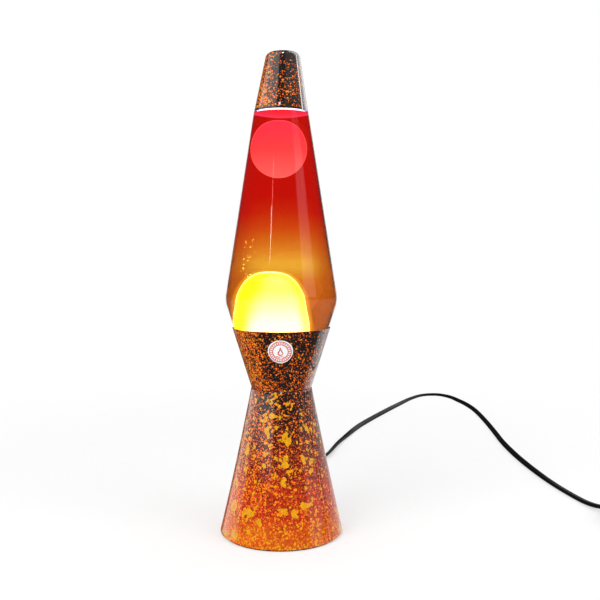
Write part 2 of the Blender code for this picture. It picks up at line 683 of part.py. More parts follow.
def build_liquid():
    """The liquid fills the bottle above the wax, less the room that the rising wax moves in."""
    skin = BOTTLE_WALL + GAP
    top = LIQUID_LEVEL_Z
    shoulder = shoulder_z(skin)
    foot = POOL_TOP_Z + GAP
    corners = [(0, top, 0), (bottle_high_radius(top, skin), top, 0)]
    corners += [(bottle_high_radius(shoulder, skin), shoulder, BOTTLE_SHOULDER_ROUND)]
    corners += [(bottle_low_radius(foot, skin), foot, 0), (0, foot, 0)]
    liquid = turned("liquid", corners, "liquid")
    low = DOME_Z + DOME_HALF_HEIGHT - ROOM_OVERLAP
    room = dome("blob_room", BLOB_RADIUS + WAX_CLEARANCE, BLOB_HALF_HEIGHT + WAX_CLEARANCE, BLOB_Z, low)
    boolean(liquid, place(room, BLOB_X, 0, 0))
    low = DOME_Z - ROOM_OVERLAP
    room = dome("dome_room", DOME_RADIUS + WAX_CLEARANCE, DOME_HALF_HEIGHT + WAX_CLEARANCE, DOME_Z, low)
    boolean(liquid, place(room, DOME_X, 0, 0))


def build_wax():
    floor = BOTTLE_BOTTOM_Z + BOTTLE_WALL + GAP
    skin = BOTTLE_WALL + GAP
    top = POOL_TOP_Z
    corners = [(0, top, 0), (bottle_low_radius(top, skin), top, 0)]
    corners += [(bottle_low_radius(floor, skin), floor, 0), (0, floor, 0)]
    pool = turned("wax_pool", corners, "wax_yellow")
    risen = dome("risen_wax", DOME_RADIUS, DOME_HALF_HEIGHT, DOME_Z, DOME_Z - ROOM_OVERLAP)
    boolean(pool, place(risen, DOME_X, 0, 0), "UNION")
    deep = floor + 2 * WIRE_RADIUS + WAX_CLEARANCE
    inner = WIRE_COIL_RADIUS - WIRE_RADIUS - WAX_CLEARANCE
    outer = WIRE_COIL_RADIUS + WIRE_RADIUS + WAX_CLEARANCE
    corners = [(outer, deep, 0), (outer, floor - WIRE_RADIUS, 0), (inner, floor - WIRE_RADIUS, 0), (inner, deep, 0)]
    boolean(pool, turned("wire_groove", corners, None, closed=True, steps=MIDDLE_STEPS))
    place(ellipsoid("wax_blob", BLOB_RADIUS, BLOB_HALF_HEIGHT, "wax_pink"), BLOB_X, 0, BLOB_Z)
    ring = []
    for side in range(6):
        angle = radians(90 - 60 * side)
        ring.append((WIRE_COIL_RADIUS + WIRE_RADIUS * cos(angle), floor + WIRE_RADIUS * (1 + sin(angle)), 0))
    turned("wire_coil", ring, "steel", closed=True, steps=MIDDLE_STEPS)


def build_cap():
    top = TOTAL_HEIGHT
    bottom = CAP_BOTTOM_Z
    under = top - CAP_WALL
    corners = [(0, top, 0), (cap_radius(top), top, CAP_ROUND), (cap_radius(bottom), bottom, 0)]
    corners += [(cap_radius(bottom, CAP_WALL), bottom, 0)]
    corners += [(cap_radius(under, CAP_WALL), under, CAP_ROUND - CAP_WALL), (0, under, 0)]
    turned("top_cap", corners, "painted_shell")


# Bulb, lampholder and bracket.


def build_bulb():
    tip = BULB_TIP_Z
    top = tip + BULB_LENGTH
    widest = top - 7.0 * MM
    shell_low = tip + CONTACT_HEIGHT + 2 * GAP
    shell_top = shell_low + SCREW_CAP_HEIGHT
    wall = BULB_GLASS_WALL
    corners = [(0, tip + CONTACT_HEIGHT, 0), (CONTACT_RADIUS, tip + CONTACT_HEIGHT, 0)]
    corners += [(CONTACT_RADIUS, tip, 1 * MM), (0, tip, 0)]
    turned("bulb_contact", corners, "steel", steps=SMALL_STEPS)
    inner = SCREW_CAP_RADIUS - SCREW_CAP_WALL
    corners = [(SCREW_CAP_RADIUS, shell_top, 0), (SCREW_CAP_RADIUS, shell_low + 3 * MM, 0)]
    corners += [(CONTACT_RADIUS + 1 * MM, shell_low, 0), (CONTACT_RADIUS, shell_low, 0)]
    corners += [(CONTACT_RADIUS, shell_low + SCREW_CAP_WALL, 0), (inner, shell_low + 3.4 * MM, 0)]
    corners += [(inner, shell_top, 0)]
    turned("bulb_screw_cap", corners, "brass", closed=True, steps=MIDDLE_STEPS)
    neck = BULB_NECK_RADIUS
    low = shell_low + 8 * MM
    flare = shell_top + 6 * MM
    corners = [(0, top, 0), (BULB_RADIUS, top, 7 * MM), (BULB_RADIUS, widest, 4 * MM), (neck + 5 * MM, flare + 6 * MM, 8 * MM)]
    corners += [(neck, flare, 2 * MM), (neck, low, 0), (neck - wall, low, 0), (neck - wall, flare + wall, 2 * MM)]
    corners += [(neck + 5 * MM - wall, flare + 6 * MM + wall, 8 * MM), (BULB_RADIUS - wall, widest, 3 * MM)]
    corners += [(BULB_RADIUS - wall, top - wall, 6 * MM), (0, top - wall, 0)]
    turned("bulb_glass", corners, "glass", steps=MIDDLE_STEPS)
    stem_top = flare + 4 * MM
    corners = [(0, stem_top, 0), (1.2 * MM, stem_top, 0.6 * MM), (1.8 * MM, flare - 4 * MM, 0)]
    corners += [(neck - wall - GAP, low + 1 * MM, 0), (0, low + 1 * MM, 0)]
    turned("bulb_stem", corners, "glass", steps=SMALL_STEPS)
    build_filament(stem_top + 2 * GAP)


def build_filament(low):
    """Two lead wires rising from the stem, joined by the filament's arch."""
    high = low + 9 * MM
    span = 6 * MM
    route = [(-1.0 * MM, 0, low), (-0.8 * span, 0, high - 3 * MM), (-span, 0, high)]
    route += [(-span / 2, 0, high + 1.5 * MM), (span / 2, 0, high + 1.5 * MM), (span, 0, high)]
    route += [(0.8 * span, 0, high - 3 * MM), (1.0 * MM, 0, low)]
    tube("bulb_filament", route, 0.35 * MM, "steel", 2.0 * MM)


def build_holder():
    bottom = HOLDER_BOTTOM_Z
    floor = bottom + HOLDER_FLOOR
    top = HOLDER_TOP_Z
    bore = SCREW_CAP_RADIUS + THREAD_WALL + 3 * GAP
    chamber = HOLDER_RADIUS - 1.6 * MM
    step = floor + 6.5 * MM
    nipple_hole = NIPPLE_RADIUS + GAP
    corners = [(HOLDER_RADIUS - 1 * MM, top, 0.5 * MM), (HOLDER_RADIUS, top - 8 * MM, 0), (HOLDER_RADIUS, bottom, 1 * MM)]
    corners += [(nipple_hole, bottom, 0), (nipple_hole, floor, 0), (chamber, floor, 0), (chamber, step, 0)]
    corners += [(bore, step, 0), (bore, top, 0)]
    turned("lampholder_body", corners, "black_plastic", closed=True, steps=MIDDLE_STEPS)
    sleeve_out = bore - GAP
    sleeve_in = sleeve_out - THREAD_WALL
    sleeve_top = top - 2 * MM
    corners = [(sleeve_out, sleeve_top, 0), (sleeve_out, step + GAP, 0), (sleeve_in, step + GAP, 0), (sleeve_in, sleeve_top, 0)]
    turned("lampholder_thread", corners, "brass", closed=True, steps=MIDDLE_STEPS)
    foot = floor + GAP
    crest = BULB_TIP_Z - GAP
    strip = 0.5 * MM
    section = [(-6 * MM, foot), (-4 * MM, foot), (-1.5 * MM, crest - strip), (1.5 * MM, crest - strip)]
    section += [(4 * MM, foot), (6 * MM, foot), (6 * MM, foot + strip), (4.3 * MM, foot + strip)]
    section += [(1.8 * MM, crest), (-1.8 * MM, crest), (-4.3 * MM, foot + strip), (-6 * MM, foot + strip)]
    extruded("lampholder_contact", section, 1.6 * MM, "brass", plane="YZ")
    for index, x in enumerate((-TERMINAL_X, TERMINAL_X), start=1):
        place(screw(f"terminal_screw_{index}", M2, 2.3 * MM, "brass"), x, 0, floor + GAP + 2.3 * MM)
    low = HOLDER_BOTTOM_Z + HOLDER_FLOOR - NIPPLE_LENGTH
    high = low + NIPPLE_LENGTH
    corners = [(NIPPLE_RADIUS, high, 0), (NIPPLE_RADIUS, low, 0), (NIPPLE_BORE_RADIUS, low, 0), (NIPPLE_BORE_RADIUS, high, 0)]
    turned("lampholder_nipple", corners, "brass", closed=True, steps=MIDDLE_STEPS)
    nut = hex_nut("nipple_nut", NUT_RADIUS, NIPPLE_RADIUS + GAP, NUT_HEIGHT, "steel", steps=MIDDLE_STEPS)
    place(nut, 0, 0, BRACKET_TOP_Z - BRACKET_THICKNESS - GAP - NUT_HEIGHT / 2)


def bracket_screw_places():
    reach = BRACKET_HALF_SPAN + BRACKET_FOOT / 2 + BRACKET_THICKNESS / 2
    return (-reach, reach)


def build_bracket():
    """A strip bent into a bridge: two feet on the base plate, two legs, and a top with a hole."""
    t = BRACKET_THICKNESS
    span = BRACKET_HALF_SPAN
    foot = BRACKET_FOOT
    low = BRACKET_FOOT_Z
    top = BRACKET_TOP_Z
    right = [(span + foot, low), (span + foot, low + t), (span, low + t), (span, top)]
    left = [(-x, z) for x, z in reversed(right)]
    inner_left = [(-span + t, low), (-span + t, top - t)]
    inner_right = [(span - t, top - t), (span - t, low)]
    bracket = extruded("lampholder_bracket", right + left + inner_left + inner_right, BRACKET_WIDTH, "steel")
    hole = prism("nipple_hole", 24, NIPPLE_RADIUS + GAP, 6 * t)
    boolean(bracket, place(hole, 0, 0, top - t / 2))
    for index, x in enumerate(bracket_screw_places(), start=1):
        foot_hole = prism(f"bracket_foot_hole_{index}", SMALL_STEPS, M3[0] + GAP, 6 * t)
        boolean(bracket, place(foot_hole, x, 0, low + t / 2))
        fastener = screw(f"bracket_screw_{index}", M3, PLATE_THICKNESS + t + GAP, "steel")
        place(fastener, x, 0, low + t + GAP)


# Mains cord, strain relief and inner wiring.


def gland_slope():
    """Lean of the cone's wall where the cord leaves it, as an angle above level."""
    step = 1 * MM
    return atan2(cone_radius(GLAND_Z - step) - cone_radius(GLAND_Z + step), 2 * step)


def gland_point(outward):
    """A point on the strain relief's axis, this far outside the cone's wall."""
    lean = gland_slope()
    return (0, cone_radius(GLAND_Z) + outward * cos(lean), GLAND_Z + outward * sin(lean))


def gland_rotation():
    return (gland_slope() - pi / 2, 0, 0)


def build_strain_relief():
    inner_face = -CONE_WALL - 3 * GAP
    collar = inner_face - 2.0 * MM
    tip = CORD_RADIUS + 1.0 * MM
    corners = [(0, GLAND_LENGTH, 0), (tip, GLAND_LENGTH, 0.4 * MM), (GLAND_FLANGE_RADIUS - 1.2 * MM, 2.4 * MM, 0)]
    corners += [(GLAND_FLANGE_RADIUS, 2.2 * MM, 0.5 * MM), (GLAND_FLANGE_RADIUS, GAP, 0)]
    corners += [(GLAND_SHANK_RADIUS, GAP, 0), (GLAND_SHANK_RADIUS, inner_face, 0)]
    corners += [(GLAND_FLANGE_RADIUS - 1 * MM, inner_face, 0), (GLAND_FLANGE_RADIUS - 1 * MM, collar, 0), (0, collar, 0)]
    relief = turned("strain_relief", corners, "black_plastic", steps=MIDDLE_STEPS)
    relief.location = gland_point(0)
    relief.rotation_euler = gland_rotation()
    return collar


def clip_screw_place():
    return (CORD_RADIUS + 5.5 * MM, 27.0 * MM)


def build_inner_wiring(collar):
    """The cord inside the cone, its two cores up through the nipple, and the clip that holds it down."""
    rest = PLATE_TOP_Z + 2 * GAP + CORD_RADIUS
    split_z = HOLDER_BOTTOM_Z + HOLDER_FLOOR - NIPPLE_LENGTH - 12 * MM
    start = gland_point(collar - GAP)
    lead = gland_point(collar - 5 * MM)
    clip_x, clip_y = clip_screw_place()
    route = [start, lead, (0, clip_y + 8 * MM, rest + 0.5 * MM), (0, clip_y, rest), (0, clip_y - 8 * MM, rest)]
    route += [(0, 9 * MM, rest + 6 * MM), (0, 2.5 * MM, 0.5 * split_z), (0, 0, 0.8 * split_z), (0, 0, split_z)]
    tube("inner_cord", route, CORD_RADIUS, "black_plastic", 5 * MM)
    end_z = HOLDER_BOTTOM_Z + HOLDER_FLOOR + GAP + CORE_RADIUS
    for name, side in (("live_wire", -1), ("neutral_wire", 1)):
        x = side * CORE_X
        route = [(0.65 * x, 0, split_z + 2 * GAP), (x, 0, split_z + 8 * MM), (x, 0, end_z - 5 * MM)]
        route += [(1.1 * x, 0, end_z - 1 * MM), (1.7 * x, 0, end_z + 0.2 * MM)]
        route += [(side * (TERMINAL_X - M2[0] - 2 * GAP), 0, end_z + 0.1 * MM)]
        finish_name = "brown_wire" if side < 0 else "blue_wire"
        tube(name, route, CORE_RADIUS, finish_name, 2.2 * MM)
    build_clip(clip_x, clip_y, rest)


def build_clip(clip_x, clip_y, rest):
    """A strap bent over the cord, with one screwed foot."""
    t = 1.0 * MM
    inner = CORD_RADIUS + 2 * GAP
    low = PLATE_TOP_Z + GAP
    far = clip_x + 3.5 * MM
    bows = [(inner * cos(radians(a)), rest + inner * sin(radians(a))) for a in range(0, 181, 30)]
    overs = [((inner + t) * cos(radians(a)), rest + (inner + t) * sin(radians(a))) for a in range(180, -1, -30)]
    section = [(inner, low), *bows, (-inner, low), (-inner - t, low), *overs, (inner + t, low + t)]
    section += [(far, low + t), (far, low)]
    clip = extruded("cord_clip", section, 7 * MM, "steel")
    clip.location = (0, clip_y, 0)
    hole = prism("clip_hole", SMALL_STEPS, M2[0] + GAP, 8 * t)
    boolean(clip, place(hole, clip_x, clip_y, low))
    place(screw("clip_screw", M2, t + PLATE_THICKNESS + GAP, "steel"), clip_x, clip_y, low + t + GAP)


def heading(angle_deg):
    return Vector((cos(radians(angle_deg)), sin(radians(angle_deg)), 0))


def coil_centre():
    along = heading(SWITCH_HEADING_DEG)
    start = Vector((*SWITCH_ENTRY, 0)) * MM + along * (SWITCH_LENGTH + SWITCH_TO_COIL)
    return start + heading(SWITCH_HEADING_DEG + 90) * COIL_TURN_RADIUS


def coil_point(angle_deg, radius, z):
    point = coil_centre() + heading(angle_deg) * radius
    return (point.x, point.y, z)


def build_cord():
    """The free cord: along the surface to the switch, on to the coil, and from the coil to the plug."""
    along = heading(SWITCH_HEADING_DEG)
    entry = Vector((*SWITCH_ENTRY, 0)) * MM + Vector((0, 0, SWITCH_HALF_HEIGHT + GAP / 2))
    route = [gland_point(GLAND_LENGTH + CORD_END_GAP), gland_point(GLAND_LENGTH + 14 * MM)]
    route += [tuple(MM * value for value in point) for point in CORD_ROUTE]
    route += [tuple(entry - along * 9 * MM), tuple(entry - along * CORD_END_GAP)]
    tube("mains_cord", route, CORD_RADIUS, "black_plastic", CORD_POINT_SPACING)
    leave = entry + along * (SWITCH_LENGTH + CORD_END_GAP)
    clear = COIL_OUTER_RADIUS + CORD_RADIUS + 2 * GAP
    reach = SWITCH_TO_COIL - sqrt(clear**2 - COIL_TURN_RADIUS**2)
    end = Vector((leave.x, leave.y, CORD_REST_Z)) + along * reach
    route = [tuple(leave), tuple(leave + along * 4 * MM), tuple(end - along * 3 * MM), tuple(end)]
    tube("cord_link", route, CORD_RADIUS, "black_plastic", 3 * MM)
    corners = [(COIL_OUTER_RADIUS, COIL_HEIGHT, 2 * MM), (COIL_OUTER_RADIUS, 0, 2 * MM)]
    corners += [(COIL_INNER_RADIUS, 0, 2 * MM), (COIL_INNER_RADIUS, COIL_HEIGHT, 2 * MM)]
    coil = turned("cord_coil", [(r, z + 0.1 * MM, f) for r, z, f in corners], "black_plastic", closed=True)
    coil.location = coil_centre()
    plug_along = heading(PLUG_HEADING_DEG)
    plug_entry = Vector((*PLUG_ENTRY, 0)) * MM + Vector((0, 0, PLUG_HEIGHT / 2))
    route = [coil_point(angle, radius * MM, z * MM) for angle, radius, z in TAIL_ROUTE_DEG_RADIUS_Z]
    route += [tuple(plug_entry - plug_along * 7 * MM), tuple(plug_entry - plug_along * GAP)]
    tube("cord_tail", route, CORD_RADIUS, "black_plastic", 5 * MM)


def build_tie():
    """A strap over the coil, open below, so that the coil still lies on the surface."""
    t = TIE_THICKNESS
    inner = COIL_INNER_RADIUS - TIE_CLEARANCE
    outer = COIL_OUTER_RADIUS + TIE_CLEARANCE
    under = COIL_HEIGHT + 0.1 * MM + GAP
    low = 0.4 * MM
    section = [(outer, low), (outer + t, low), (outer + t, under + t), (inner - t, under + t)]
    section += [(inner - t, low), (inner, low), (inner, under), (outer, under)]
    tie = extruded("cord_tie", section, TIE_WIDTH, "black_plastic")
    tie.location = coil_centre()
    tie.rotation_euler = (0, 0, radians(95.0))


# Inline switch.


def switch_half_outline(inward):
    """Half of the housing's plan, from its blunt ends to its wide middle, this far inside its edge."""
    half = SWITCH_LENGTH / 2 - inward
    end = SWITCH_END_WIDTH / 2 - inward
    wide = SWITCH_WIDTH / 2 - inward
    corners = [(half, -end, 2 * MM), (half, end, 2 * MM), (half * 0.55, wide, 8 * MM), (-half * 0.55, wide, 8 * MM)]
    corners += [(-half, end, 2 * MM), (-half, -end, 2 * MM), (-half * 0.55, -wide, 8 * MM), (half * 0.55, -wide, 8 * MM)]
    return [(p.x, p.y) for p in outline(corners, True)]


def switch_half(name, frame, low, pocket_low):
    """One half of the housing, hollowed from the side where the halves meet."""
    height = SWITCH_HALF_HEIGHT
    half = extruded(name, switch_half_outline(0), height, "black_plastic", plane="XY", parent=frame)
    half.location = (0, 0, low + height / 2)
    pocket = extruded(name + "_pocket", switch_half_outline(SWITCH_WALL), height, None, plane="XY", parent=frame)
    pocket.location = (0, 0, pocket_low + height / 2)
    boolean(half, pocket)
    return half


def rocker_outline():
    """Side view of the rocker about its pivot: two flats that meet in a shallow valley, between round ends."""
    rise = ROCKER_RISE + ROCKER_HALF_LENGTH * tan(radians(ROCKER_TILT_DEG))
    reach = hypot(ROCKER_HALF_LENGTH, rise)
    first = degrees(atan2(rise, ROCKER_HALF_LENGTH))
    last = -20.0
    arc = [first + (last - first) * step / 5 for step in range(6)]
    right = [(reach * cos(radians(a)), reach * sin(radians(a))) for a in arc]
    left = [(-x, z) for x, z in reversed(right)]
    foot = [(0.6 * ROCKER_HALF_LENGTH, -ROCKER_DEPTH), (-0.6 * ROCKER_HALF_LENGTH, -ROCKER_DEPTH)]
    tilt = Matrix.Rotation(-radians(ROCKER_TILT_DEG), 2)
    points = [(0, ROCKER_RISE), *right, *foot, *left]
    return [tuple(tilt @ Vector(point)) for point in points], reach


def build_switch():
    along = heading(SWITCH_HEADING_DEG)
    middle = Vector((*SWITCH_ENTRY, 0)) * MM + along * SWITCH_LENGTH / 2
    frame = add_empty("switch_frame", middle, SWITCH_HEADING_DEG)
    height = SWITCH_HALF_HEIGHT
    lower = switch_half("switch_lower", frame, 0, SWITCH_WALL)
    upper = switch_half("switch_upper", frame, height + GAP, height + GAP - SWITCH_WALL)
    section, reach = rocker_outline()
    pivot_z = 2 * height + GAP - ROCKER_RISE
    window = block("rocker_window", (2 * (reach + ROCKER_CLEARANCE), ROCKER_WIDTH + 2 * ROCKER_CLEARANCE, 2 * height))
    window.parent = frame
    boolean(upper, place(window, 0, 0, 2 * height))
    rocker = extruded("switch_rocker", section, ROCKER_WIDTH, "black_plastic", parent=frame)
    rocker.location = (0, 0, pivot_z)
    for index, x in enumerate((-0.36 * SWITCH_LENGTH, 0.36 * SWITCH_LENGTH), start=1):
        fastener = screw(f"switch_screw_{index}", M2, 1.2 * height, "steel", parent=frame)
        fastener.rotation_euler = (pi, 0, 0)
        place(fastener, x, 0, M2[2] + 0.2 * MM)
        boss = prism(f"switch_boss_{index}", SMALL_STEPS, 2.4 * MM, height, parent=frame)
        boolean(lower, place(boss, x, 0, height / 2 + 0.01 * MM), "UNION")
        bore = prism(f"switch_bore_{index}", SMALL_STEPS, M2[0] + GAP, 4 * height, parent=frame)
        boolean(lower, place(bore, x, 0, height))
        recess = prism(f"switch_recess_{index}", SMALL_STEPS, M2[1] + GAP, 2 * (M2[2] + 0.2 * MM + GAP), parent=frame)
        boolean(lower, place(recess, x, 0, 0))


# Plug.


def build_plug():
    along = heading(PLUG_HEADING_DEG)
    entry = Vector((*PLUG_ENTRY, 0)) * MM
    frame = add_empty("plug_frame", entry, PLUG_HEADING_DEG)
    boot_end = PLUG_BOOT_LENGTH
    face = boot_end + PLUG_BODY_LENGTH
    neck = 6.0 * MM
    corners = [(boot_end, -neck, 0), (boot_end + 10 * MM, -PLUG_BODY_WIDTH / 2, 6 * MM), (face, -PLUG_FACE_WIDTH / 2, 1 * MM)]
    corners += [(face, PLUG_FACE_WIDTH / 2, 1 * MM), (boot_end + 10 * MM, PLUG_BODY_WIDTH / 2, 6 * MM), (boot_end, neck, 0)]
    plan = [(p.x, p.y) for p in outline(corners, True)]
    body = extruded("plug_body", plan, PLUG_HEIGHT, "black_plastic", plane="XY", parent=frame)
    body.location = (0, 0, PLUG_HEIGHT / 2)
    bevel(body, 2.0 * MM)
    low = CORD_RADIUS + 1.0 * MM
    high = low + 1.6 * MM
    corners = [(0, boot_end + 4 * MM, 0), (high, boot_end + 4 * MM, 0), (low, 0, 0), (0, 0, 0)]
    boot = turned("plug_boot", corners, None, steps=MIDDLE_STEPS, parent=frame)
    boot.rotation_euler = (0, pi / 2, 0)
    boot.location = (0, 0, PLUG_HEIGHT / 2)
    boolean(body, boot, "UNION")
    for index, y in enumerate((-PIN_SPACING / 2, PIN_SPACING / 2), start=1):
        corners = [(0, PIN_LENGTH, 0), (PIN_RADIUS, PIN_LENGTH, 1.2 * MM), (PIN_RADIUS, 0, 0), (0, 0, 0)]
        pin = turned(f"plug_pin_{index}", corners, "brass", steps=SMALL_STEPS, parent=frame)
        pin.rotation_euler = (0, pi / 2, 0)
        pin.location = (face + GAP, y, PLUG_HEIGHT / 2)


def main():
    clear_scene()
    build_foot_and_plate()
    build_lower_cone()
    build_lugs()
    build_cup()
    build_badge()
    build_bottle()
    build_closure()
    build_liquid()
    build_wax()
    build_cap()
    build_bulb()
    build_holder()
    build_bracket()
    collar = build_strain_relief()
    build_inner_wiring(collar)
    build_cord()
    build_tie()
    build_switch()
    build_plug()


main()
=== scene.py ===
"""Lava lamp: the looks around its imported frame, one operator for each group of pieces."""

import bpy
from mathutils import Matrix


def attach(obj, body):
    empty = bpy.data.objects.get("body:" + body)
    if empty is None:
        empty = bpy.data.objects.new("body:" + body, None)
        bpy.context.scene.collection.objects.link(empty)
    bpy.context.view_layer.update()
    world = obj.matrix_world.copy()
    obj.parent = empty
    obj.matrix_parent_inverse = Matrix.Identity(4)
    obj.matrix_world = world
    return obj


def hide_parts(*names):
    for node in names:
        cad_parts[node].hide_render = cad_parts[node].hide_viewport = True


bl_info = {
    "name": "Lava lamp",
    "version": (1, 0, 0),
    "blender": (4, 5, 0),
    "location": "3D View > Sidebar > Lava lamp",
    "description": "Builds a lava lamp with a speckled metal stand, a bottle of liquid and wax, and its mains cord",
    "category": "Add Mesh",
}

from functools import reduce
from math import atan, cos, pi, radians, sin, sqrt, tan

import bpy
import numpy as np
from bpy.props import FloatProperty, FloatVectorProperty, IntProperty, PointerProperty
from mathutils import Vector

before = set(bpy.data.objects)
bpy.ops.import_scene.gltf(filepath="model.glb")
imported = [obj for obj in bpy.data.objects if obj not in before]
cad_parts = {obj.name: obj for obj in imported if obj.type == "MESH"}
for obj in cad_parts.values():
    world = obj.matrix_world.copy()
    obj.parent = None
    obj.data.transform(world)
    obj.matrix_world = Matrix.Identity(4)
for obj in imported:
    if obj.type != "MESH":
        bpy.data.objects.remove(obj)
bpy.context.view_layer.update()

MM = 0.001
TURN = 2 * pi

# Distance between pieces that rest on each other, thicknesses of the three shells, and the cap's sideways lean.
GAP = 0.3 * MM
CONE_WALL, CUP_WALL, CAP_WALL = 0.8 * MM, 0.7 * MM, 0.6 * MM
CAP_LEAN = 0.034

# Bottle: distance of its foot from the cup, and of its neck from inside the cap; height of the neck and of the
# mouth's collar on it; radii of the collar, of the mouth, and of the rounding at the shoulder, outside and in.
BOTTLE_OFF_CUP, NECK_OFF_CAP = 1.05 * MM, 1.25 * MM
NECK_HEIGHT, COLLAR_HEIGHT = 14 * MM, 10 * MM
COLLAR_RADIUS, MOUTH_RADIUS = 12.6 * MM, 9 * MM
SHOULDER_ROUND, SHOULDER_ROUND_INSIDE = 25 * MM, 23 * MM

# Liquid: how far it reaches into the glass, how far its edge climbs the glass, and how deep its surface dips.
LIQUID_OVERLAP, LIQUID_CLIMB, LIQUID_DIP = 0.12 * MM, 0.5 * MM, 5.8 * MM

# Wax: axis, level and height of the dome, the power that squares its curve, the same of the painted glow
# round it, which is wider by a factor, and axis, middle and half the height of the floating wax.
DOME_X, DOME_Z, DOME_HEIGHT, DOME_POWER = -6.9 * MM, 172.0 * MM, 46.6 * MM, 0.74
HALO_Z, HALO_HEIGHT, HALO_WIDER = 173.0 * MM, 47.5 * MM, 1.13
BLOB_X, BLOB_Z, BLOB_HALF = -1.5 * MM, 319.4 * MM, 23.7 * MM

# Round label: radius, height of its middle, how far its front and its back stand off the cup, and the length of
# the cup's wall for each unit of height.
LABEL_RADIUS, LABEL_Z = 9.95 * MM, 157.5 * MM
LABEL_FRONT, LABEL_BACK = 0.7 * MM, 0.3 * MM
WALL_PER_HEIGHT = 1.0484

# Cord, in millimetres: the height of its middle on the floor, its route from the strain relief over the floor to
# the switch, and the height at which it leaves the cone.
FLOOR_Z = 3.2
OVER_FLOOR = (
    (30.0, 200.0), (47.5, 241.0), (65.0, 305.0), (89.5, 374.5), (112.6, 427.0), (137.2, 478.0),
    (164.3, 533.0), (190.0, 583.0), (213.0, 613.0), (237.5, 618.0), (254.0, 598.0), (262.5, 564.0),
    (268.5, 529.0), (271.5, 482.5), (270.0, 414.0), (266.5, 346.0), (263.8, 303.0), (263.0, 261.5),
    (264.0, 219.0), (266.2, 182.0), (269.2, 148.0), (272.8, 120.0), (277.0, 96.0),
)
ROUTE = [(2.0, 118.0, 19.5), (8.0, 142.0, 10.5), (17.0, 168.0, 4.4)]
ROUTE += [(x, y, FLOOR_Z) for x, y in OVER_FLOOR] + [(282.5, 71.0, 3.5), (289.4, 47.0, 5.8)]
GLAND_Z = 14
SWITCH_ENTRY, SWITCH_HEADING, SWITCH_LENGTH = np.array([297.0, 23.0, 8.55]), radians(-72.0), 58.0
PLUG_ENTRY, PLUG_HEADING = np.array([407.5, -27.0, 6.85]), radians(84.0)

# The flat cord's twist: distances along it in metres, and its angle there in degrees.
TWIST_AT = [0.2, 0.33, 0.45, 0.57, 0.7, 0.95, 1.12]
TWIST = [43, -45, -45, 0, -40, -40, 0]

# Coil of spare cord, in millimetres: how far its middle stands beyond the switch and beside it, its outermost
# and innermost turn, the angle at which it ends, and the points of the spiral.
COIL_AHEAD, COIL_BESIDE = 38.0, 37.0
COIL_OUTER, COIL_INNER = 38.2, 29.2
COIL_END, COIL_POINTS = radians(-70.0) + 2 * TURN, 72

# Camera: place, lens in millimetres, and how far it looks down in degrees.
CAMERA_SPOT, CAMERA_LENS, CAMERA_DIP = (15.6 * MM, -672.0 * MM, 240.9 * MM), 48.18, 3.776

# Softboxes that mirrored rays see in the lacquer and in the glass. Each row gives the left, right, bottom and top
# edge, how soft the edges are, all in degrees, and the brightness. Left and right are compass angles round the
# lamp, nought at the front. Bottom and top count from a line that stands LEAN degrees above the horizon at the
# front and sinks to the horizon behind the lamp.
LEAN = 19.0
LACQUER_SOFTBOXES = (
    (-114.0, -21.0, 4.0, 60.0, 3.0, 2.0),
    (-150.0, -24.0, -10.5, -5.0, 1.0, 1.4),
    (-145.0, -90.0, -19.5, -10.5, 1.5, 1.0),
    (57.0, 94.0, -30.0, -9.0, 3.0, 0.75),
    (20.0, 100.0, 6.0, 60.0, 2.0, 0.45),
    (104.0, 113.0, 5.0, 60.0, 0.6, 9.0),
    (100.0, 103.0, -30.0, -6.0, 0.8, 1.8),
    (117.0, 162.0, 5.0, 60.0, 0.8, 2.2),
    (108.0, 178.0, -80.0, -19.0, 4.0, 1.2),
    (108.0, 178.0, -19.0, -8.0, 4.0, 0.6),
    (-6.0, 6.0, 38.0, 52.0, 2.0, 70.0),
    (-10.0, -2.0, 6.8, 7.4, 0.15, 20.0),
)
GLASS_SOFTBOXES = (
    (-26.0, -24.8, -2.5, 3.2, 0.4, 12.0),
    (48.0, 78.0, -9.0, 9.0, 2.0, 0.65),
    (158.0, 202.0, -80.0, 60.0, 8.0, 1.0),
    (-202.0, -158.0, -80.0, 60.0, 8.0, 1.0),
)


# Sizes and colours that a user would change.


def length_prop(name, description, millimetres):
    default = millimetres * MM
    return FloatProperty(name=name, description=description, default=default, min=0, subtype="DISTANCE", unit="LENGTH")


def colour_prop(name, description, *default):
    return FloatVectorProperty(
        name=name, description=description, default=default, size=3, min=0, max=1, subtype="COLOR"
    )


